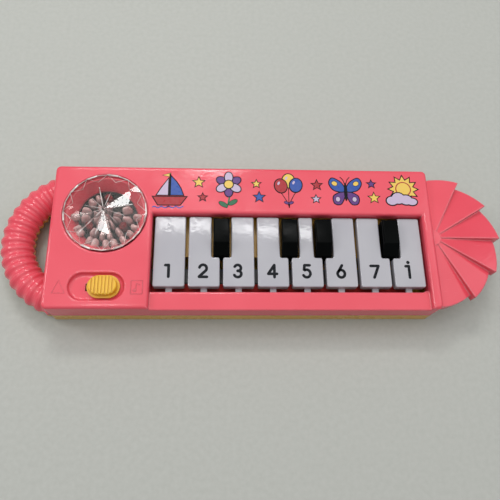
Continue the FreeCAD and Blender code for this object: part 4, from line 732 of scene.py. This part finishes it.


# Top housing: the upper half of the case, moulded in glossy pink ABS with the fan and half the ribbed loop.
# Two signs beside the mode switch stand up from the panel as thin moulded lines.
# A skirt hangs inside each end of the key opening.
# The pink's pale edge colour is set light as a painted highlight along the case's edges, on top of edge wear.
pink_abs = moulded_plastic("pink_abs", colour=(0.735, 0.078, 0.112), deep=(0.70, 0.067, 0.098),
                           pale_edge=(0.93, 0.36, 0.40), gloss=0.08, dull=0.17, clouds=38.0, edge=0.0010,
                           peel=0.00006)
coat(pink_abs, "top_housing")
SIGN_LINE = 0.42
SIGN_RISE = 0.09
SIGN_SINK = 0.2
SIGN_STEP = 0.01
TRIANGLE = [(-16.32, -2.75), (-14.12, 2.35), (-11.52, -2.75)]
SQUARE = [(13.28, -3.05), (17.68, -3.05), (17.68, 2.25), (13.28, 2.25)]
NOTE_HEAD = arc(14.78, -1.65, 0.5, 0.42, 0, 340, 18)
NOTE_STEM = [(15.28, -1.55), (15.28, 1.25), (16.58, 0.55)]
switch_x, switch_y, _ = middle("switch_body")
signs = bmesh.new()
for sign, drops in ((TRIANGLE, 0), (SQUARE, 0), (NOTE_HEAD, 1), (NOTE_STEM, 2)):
    points = [(switch_x + x, switch_y + y) for x, y in sign]
    ribbon(signs, points, SIGN_LINE, panel_top - SIGN_SINK, panel_top + SIGN_RISE - SIGN_STEP * drops,
           closed=sign is not NOTE_STEM)
piece_from(signs, "switch_signs", "case", pink_abs)

SKIRT_THICK = 0.9
SKIRT_EASE = 0.3
SKIRT_SET_BACK = 0.48
SKIRT_FRONT_INSET = 1.15
SKIRT_REAR_INSET = 5.4
SKIRT_DROP = 3.0
LEFT_FOOT = 10.4
RIGHT_FOOT = 11.0
frame_low, frame_high = (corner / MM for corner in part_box("key_frame"))
skirt_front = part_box("white_key_1")[0].y / MM + SKIRT_FRONT_INSET
skirt_rear = frame_high.y - SKIRT_REAR_INSET
skirt_top = panel_top - SKIRT_DROP
skirts = bmesh.new()
for end_x, outward, foot in ((frame_low.x, -1, LEFT_FOOT), (frame_high.x, 1, RIGHT_FOOT)):
    face_x = end_x + outward * SKIRT_SET_BACK
    section = ((0.0, skirt_top), (0.0, foot + SKIRT_EASE), (SKIRT_EASE, foot),
               (SKIRT_THICK - SKIRT_EASE, foot), (SKIRT_THICK, foot + SKIRT_EASE), (SKIRT_THICK, skirt_top))
    closed_form(skirts, [[skirts.verts.new(((face_x + outward * reach) * MM, y * MM, level * MM))
                          for reach, level in section] for y in (skirt_front, skirt_rear)])
piece_from(skirts, "opening_skirts", "case", pink_abs)


# Printed band: small flat-colour pictures padded on to the panel behind the keys.
# Each colour is a thin film of ink with a black outline, a little uneven where the pad lifted.
BLACK, BLUE, LILAC, YELLOW, RED, PURPLE, GREEN = range(7)
INK_HOLDS = 0.93
PANEL_SHOWS = 0.03
film = {"grain": 700.0, "thin_from": 0.3, "gloss": 0.25, "dull": 0.45, "shine": 0.2}
inks = [black_ink]
for name, colour in (("blue_ink", (0.025, 0.075, 0.33)), ("lilac_ink", (0.50, 0.41, 0.55)),
                     ("yellow_ink", (0.74, 0.50, 0.10)), ("red_ink", (0.36, 0.018, 0.026)),
                     ("purple_ink", (0.105, 0.032, 0.19)), ("green_ink", (0.02, 0.13, 0.06))):
    paler = tuple(INK_HOLDS * part + PANEL_SHOWS for part in colour)
    inks.append(printed_ink(name, colour, paler, **film))
FILM_THICK = 0.02
BAND_INSET = 10.6
PRINT_SIZE = 1.16
INK_LINE = 0.42
FINE_LINE = 0.22
SHARPEST_CORNER = 0.4
band_left, band_middle = strip_low.x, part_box("top_housing")[1].y / MM - BAND_INSET


def grown(outline, by):
    """An outline moved outwards by a distance, for the black line round a colour."""
    area = sum(x * v - u * y for (x, y), (u, v) in zip(outline, outline[1:] + outline[:1]))
    outward = by if area > 0 else -by
    moved = []
    for index, (x, y) in enumerate(outline):
        (px, py), (nx, ny) = outline[index - 1], outline[(index + 1) % len(outline)]
        first, second = atan2(y - py, x - px), atan2(ny - y, nx - x)
        half = (second - first + pi) % (2 * pi) / 2 - pi / 2
        angle, reach = first + half - pi / 2, outward / max(cos(half), SHARPEST_CORNER)
        moved.append((x + reach * cos(angle), y + reach * sin(angle)))
    return moved


def patch_of_ink(mesh, outline, layer, ink, line=0.0):
    """A closed film of ink over an outline on the panel, with a black film a little larger under it."""
    if line:
        patch_of_ink(mesh, grown(outline, line), layer, BLACK)
        layer += 1
    rows = [[mesh.verts.new((x * MM, y * MM, level * MM)) for x, y in outline]
            for level in (panel_top - FILM_THICK, panel_top + FILM_THICK * layer)]
    for face in closed_form(mesh, rows):
        face.material_index = ink


def ink_line(mesh, points, width, layer, ink):
    """A drawn line of ink on the panel."""
    ribbon(mesh, points, width, panel_top - FILM_THICK, panel_top + FILM_THICK * layer, ink)


def oval(x, y, wide, high, turn=0.0, steps=32):
    """A closed oval, turned by degrees."""
    lean, ring = radians(turn), [2 * pi * step / steps for step in range(steps)]
    return [(x + wide * cos(a) * cos(lean) - high * sin(a) * sin(lean),
             y + wide * cos(a) * sin(lean) + high * sin(a) * cos(lean)) for a in ring]


def pointed(x, y, outer, inner, tips):
    """A star or sun outline with straight points, one of them upright."""
    outline = []
    for step in range(2 * tips):
        angle, reach = pi / 2 + pi * step / tips, inner if step % 2 else outer
        outline.append((x + reach * cos(angle), y + reach * sin(angle)))
    return outline


def flowing(points, steps=7):
    """A smooth closed outline through a few points."""
    count, line = len(points), []
    for index in range(count):
        four = [points[(index + k - 1) % count] for k in range(4)]
        for step in range(steps):
            t = step / steps
            weights = (-0.5 * t + t * t - 0.5 * t ** 3, 1 - 2.5 * t * t + 1.5 * t ** 3,
                       0.5 * t + 2 * t * t - 1.5 * t ** 3, -0.5 * t * t + 0.5 * t ** 3)
            line.append((sum(w * x for w, (x, y) in zip(weights, four)),
                         sum(w * y for w, (x, y) in zip(weights, four))))
    return line


def on_band(along, up=0.0):
    """A place on the band, by its distance from the contact strip's left end and from the band's middle."""
    return band_left + along, band_middle + up


def moved_to(spot, outline, flip=1):
    """An outline carried to its place on the band, mirrored if flip is -1."""
    return [(spot[0] + PRINT_SIZE * flip * u, spot[1] + PRINT_SIZE * v) for u, v in outline]


HULL = [(-5.6, -2.4), (-3.8, -5.4), (3.9, -5.4), (5.9, -2.4)]
MAINSAIL = [(0.5, 5.6), (2.4, 3.4), (3.9, 0.9), (4.8, -1.6), (0.5, -1.6)]
FORESAIL = [(-0.5, 4.6), (-0.5, -1.6), (-4.3, -1.6), (-2.9, 0.9)]
PENNANT = [(0.2, 6.9), (0.2, 5.5), (-2.4, 6.1)]
MAST = [(0.0, -2.2), (0.0, 6.6)]
boat = bmesh.new()
spot = on_band(5.48, -0.4)
for outline, ink, line in ((HULL, RED, INK_LINE), (MAINSAIL, BLUE, INK_LINE), (FORESAIL, LILAC, INK_LINE),
                           (PENNANT, YELLOW, FINE_LINE)):
    patch_of_ink(boat, moved_to(spot, outline), 1, ink, line)
ink_line(boat, moved_to(spot, MAST), width=0.45, layer=3, ink=BLACK)
for start in (-5.6, -0.6):
    wave = [(start + 0.5 * step, -6.35 + 0.32 * sin(1.3 * step)) for step in range(12)]
    ink_line(boat, moved_to(spot, wave), width=0.5, layer=1, ink=BLUE)
piece_from(boat, "print_sailboat", "case", *inks)

STALK = [(0.2, 0.0), (0.5, -2.6), (0.1, -4.8), (-0.5, -6.6)]
HEART_X, HEART_Y = 0.2, 2.4
PETALS = 6
PETAL_OUT = 2.75
flower = bmesh.new()
spot = on_band(29.48)
ink_line(flower, moved_to(spot, STALK), width=0.7, layer=1, ink=GREEN)
for side, leaf_y in ((1, -4.6), (-1, -5.4)):
    patch_of_ink(flower, moved_to(spot, oval(side * 1.7, leaf_y, 1.7, 0.75, side * 32)), 2, GREEN, FINE_LINE)
for petal in range(PETALS):
    turn, odd = 360 / PETALS * petal + 30, petal % 2
    petal_x, petal_y = HEART_X + PETAL_OUT * cos(radians(turn)), HEART_Y + PETAL_OUT * sin(radians(turn))
    outline = oval(petal_x, petal_y, 2.0, 1.35, turn)
    patch_of_ink(flower, moved_to(spot, outline), 3 + 2 * odd, LILAC if odd else PURPLE, INK_LINE)
patch_of_ink(flower, moved_to(spot, oval(HEART_X, HEART_Y, 1.5, 1.5)), 7, YELLOW, INK_LINE)
piece_from(flower, "print_flower", "case", *inks)

balloons = bmesh.new()
spot = on_band(54.48, 0.2)
for layer, (u, v, ink) in enumerate(((0.1, 4.0, YELLOW), (-2.7, 1.9, RED), (2.7, 2.2, BLUE))):
    string = [(u, v - 2.6), (0.6 * u, v - 4.4), (0.15 * u, -4.6), (0.1, -6.6)]
    ink_line(balloons, moved_to(spot, string), width=0.32, layer=1, ink=BLACK)
    patch_of_ink(balloons, moved_to(spot, oval(u, v, 2.15, 2.65, -4 * u)), 2 + 3 * layer, ink, INK_LINE)
    shine = oval(u - 0.75, v + 1.0, 0.4, 0.72, -25, 16)
    patch_of_ink(balloons, moved_to(spot, shine), 4 + 3 * layer, LILAC)
for side in (-1, 1):
    bow = oval(side * 0.85, -4.7, 0.8, 0.42, side * 25, 18)
    patch_of_ink(balloons, moved_to(spot, bow), 2, PURPLE, line=0.2)
piece_from(balloons, "print_balloons", "case", *inks)

UPPER_WING = flowing([(0.3, 0.8), (1.6, 3.6), (4.6, 5.4), (5.8, 3.4), (4.4, 0.9), (1.6, 0.1)])
LOWER_WING = flowing([(0.3, 0.0), (2.2, -0.4), (4.4, -1.8), (4.2, -4.4), (2.2, -4.8), (0.8, -2.6)])
FEELER = [(0.2, 3.2), (0.8, 4.9), (1.7, 5.9)]
butterfly = bmesh.new()
spot = on_band(78.48)
for flip in (1, -1):
    patch_of_ink(butterfly, moved_to(spot, LOWER_WING, flip), 1, PURPLE, INK_LINE)
    patch_of_ink(butterfly, moved_to(spot, UPPER_WING, flip), 3, BLUE, INK_LINE)
    patch_of_ink(butterfly, moved_to(spot, oval(3.9, 3.3, 1.0, 0.8, 30, 20), flip), 5, YELLOW, line=0.18)
    patch_of_ink(butterfly, moved_to(spot, oval(3.0, -2.9, 0.75, 0.9, 0, 20), flip), 3, LILAC, line=0.18)
    ink_line(butterfly, moved_to(spot, FEELER, flip), width=0.28, layer=6, ink=BLACK)
patch_of_ink(butterfly, moved_to(spot, oval(0.0, 0.0, 0.62, 3.6)), 7, BLACK)
piece_from(butterfly, "print_butterfly", "case", *inks)

SUN_X, SUN_Y = 0.9, 1.4
PUFFS = ((-3.6, -3.3, 2.0, 1.6), (-1.3, -2.3, 2.3, 2.1), (1.5, -2.9, 2.2, 1.8), (3.6, -3.6, 1.8, 1.3))
sun = bmesh.new()
spot = on_band(101.98)
patch_of_ink(sun, moved_to(spot, pointed(SUN_X, SUN_Y, 5.2, 3.5, tips=12)), 1, YELLOW, INK_LINE)
patch_of_ink(sun, moved_to(spot, oval(SUN_X, SUN_Y, 2.9, 2.9)), 3, RED)
patch_of_ink(sun, moved_to(spot, oval(SUN_X, SUN_Y, 2.5, 2.5)), 4, YELLOW)
for step, (u, v, wide, high) in enumerate(PUFFS):
    patch_of_ink(sun, moved_to(spot, oval(u, v, wide + INK_LINE, high + INK_LINE)), 5 + 0.2 * step, BLACK)
    patch_of_ink(sun, moved_to(spot, oval(u, v, wide, high)), 6 + 0.2 * step, LILAC)
piece_from(sun, "print_sun_and_cloud", "case", *inks)

STARS = ((17.38, 3.6, 1.9, YELLOW), (19.08, -3.2, 1.4, RED), (42.28, -2.8, 1.9, BLUE),
         (41.18, 3.2, 1.4, YELLOW), (66.48, 3.0, 1.8, RED), (65.88, -3.4, 1.4, LILAC),
         (90.28, -2.6, 1.9, YELLOW), (89.58, 3.8, 1.4, PURPLE))
STAR_WAIST = 0.52
stars = bmesh.new()
for along, up, size, ink in STARS:
    star = pointed(*on_band(along, up), PRINT_SIZE * size, STAR_WAIST * size, tips=5)
    patch_of_ink(stars, star, 1, ink, line=0.34)
piece_from(stars, "print_stars", "case", *inks)


# Mode knob: a yellow slide with fine grip ribs, moulded in polypropylene.
# It snaps through the slot in the recess and carries the switch actuator with it.
knob_yellow = moulded_plastic("knob_yellow", colour=(0.77, 0.44, 0.02), deep=(0.70, 0.37, 0.014),
                              pale_edge=(0.88, 0.62, 0.16), gloss=0.25, dull=0.4, clouds=120.0, edge=0.0003)
coat(knob_yellow, "slide_knob")


# Wires: pairs of thin stranded wires in soft vinyl sleeves, soldered between the boards, speaker and battery.
# One of each pair is red and the other black.
tree, taken, given = shader_group("wire_pair", {"Split": "Float"}, {"Colour": "Color", "Roughness": "Float"})
across = place(tree, "SeparateXYZ", Vector=own_place(tree)).outputs["X"]
red_side = reckon(tree, "GREATER_THAN", across, taken["Split"])
dusty = spread(tree, speckle(tree, scale=400.0, detail=3.0), low=0.35, high=0.75)
red_vinyl = tint(tree, dusty, (0.52, 0.012, 0.014, 1), (0.42, 0.03, 0.03, 1))
black_vinyl = tint(tree, dusty, (0.012, 0.012, 0.013, 1), (0.035, 0.035, 0.036, 1))
connect(tree, tint(tree, red_side, black_vinyl, red_vinyl), given["Colour"])
connect(tree, spread(tree, dusty, start=0.35, end=0.55), given["Roughness"])
wire_pair = tree
for pair in ("battery_wires", "speaker_wires", "lamp_wires"):
    vinyl, tree, shader = new_finish(pair.replace("wires", "vinyl"))
    sleeve = use(tree, wire_pair, Split=middle(pair).x * MM)
    ripple = relief(tree, speckle(tree, scale=600.0), strength=0.3, depth=0.00002)
    feed(tree, shader, {"Base Color": sleeve["Colour"], "Roughness": sleeve["Roughness"], "Normal": ripple})
    coat(vinyl, pair)


# Case screws, battery door and its screw: what closes the case from below.
# The door is moulded in the same yellow as the floor; the screws are zinc-plated with cross recesses.
coat(zinc_screws, "case_screws", "battery_door_screw")
coat(yellow_abs, "battery_door")


# Table, light and camera: a plain pale table top, with a soft lamp behind the object and a fill on each side.
# Two small lamps are mirrored in the lens and a long narrow one in the keys, and the sky fills the shade.
TABLE_HALF = 1.6
TABLE_GAP = 0.00005
table = bmesh.new()
bmesh.ops.create_grid(table, x_segments=1, y_segments=1, size=TABLE_HALF)
table_data = bpy.data.meshes.new("table_top")
table.to_mesh(table_data)
table.free()
table_top = bpy.data.objects.new("table_top", table_data)
table_top.location.z = -TABLE_GAP
scene.collection.objects.link(table_top)
pale_laminate, tree, shader = new_finish("pale_laminate")
mottle = spread(tree, speckle(tree, scale=500.0, detail=4.0), low=0.3, high=0.7)
feed(tree, shader, {"Base Color": tint(tree, mottle, (0.425, 0.435, 0.405, 1), (0.40, 0.41, 0.38, 1)),
                    "Roughness": spread(tree, mottle, start=0.5, end=0.65), "Specular IOR Level": 0.3})
table_data.materials.append(pale_laminate)


def area_lamp(name, where, aim, wide, high, watts, colour=(1, 1, 1)):
    """A rectangular lamp aimed at a point."""
    lamp = bpy.data.lights.new(name, "AREA")
    lamp.shape = "RECTANGLE"
    lamp.size = wide
    lamp.size_y = high
    lamp.energy = watts
    lamp.color = colour
    hung = bpy.data.objects.new(name, lamp)
    hung.location = where
    hung.rotation_euler = (Vector(aim) - Vector(where)).to_track_quat("-Z", "Y").to_euler()
    scene.collection.objects.link(hung)


MIDDLE = (0.0, 0.0, 0.0)
LENS = (-0.06, 0.01, 0.0)
WARM = (1.0, 0.985, 0.96)
area_lamp("soft_lamp", (-0.10, 0.44, 0.59), MIDDLE, wide=0.30, high=0.06, watts=1.0, colour=WARM)
area_lamp("top_lamp", (-0.211, 0.071, 0.75), LENS, wide=0.07, high=0.07, watts=0.24)
area_lamp("glint_lamp", (-0.024, 0.416, 0.649), LENS, wide=0.08, high=0.08, watts=0.40)
area_lamp("left_fill", (-0.495, 0.135, 0.42), (-0.02, 0.0, 0.0), wide=0.15, high=0.15, watts=0.70)
area_lamp("right_fill", (0.44, 0.09, 0.44), (0.09, 0.0, 0.0), wide=0.40, high=0.30, watts=0.40)
area_lamp("strip_lamp", (0.02, 0.298, 0.736), MIDDLE, wide=0.30, high=0.014, watts=0.16)

sky = bpy.data.worlds.new("sky")
sky.use_nodes = True
tree = sky.node_tree
height = place(tree, "SeparateXYZ", Vector=place(tree, "TexCoord").outputs["Generated"]).outputs["Z"]
overhead = spread(tree, height, low=0.70, high=0.88)
glow = tint(tree, overhead, (0.38, 0.38, 0.39, 1), (1.30, 1.30, 1.29, 1))
feed(tree, tree.nodes["Background"], {"Color": glow, "Strength": 1.0})
scene.world = sky
scene.view_settings.view_transform = "Standard"

CAMERA_AT = Vector((-0.01343, -0.0802, 0.2223))
RISE = radians(69.8)
SWING = radians(-9.4)
LEAN = radians(-9.2)
SENSOR_WIDTH = 36.0
PICTURE_PIXELS = 500.0
FOCAL_PIXELS = 546.0
NEAR_LIMIT = 0.005
back = Vector((sin(SWING) * cos(RISE), -cos(SWING) * cos(RISE), sin(RISE)))
right = Vector((0, 0, 1)).cross(back).normalized()
up = back.cross(right)
leaned_right = cos(LEAN) * right - sin(LEAN) * up
leaned_up = sin(LEAN) * right + cos(LEAN) * up
camera_data = bpy.data.cameras.new("camera")
camera_data.sensor_width = SENSOR_WIDTH
camera_data.lens = SENSOR_WIDTH * FOCAL_PIXELS / PICTURE_PIXELS
camera_data.clip_start = NEAR_LIMIT
camera = bpy.data.objects.new("camera", camera_data)
camera_turn = Matrix((leaned_right, leaned_up, back)).transposed().to_4x4()
camera.matrix_world = Matrix.Translation(CAMERA_AT) @ camera_turn
scene.collection.objects.link(camera)
scene.camera = camera
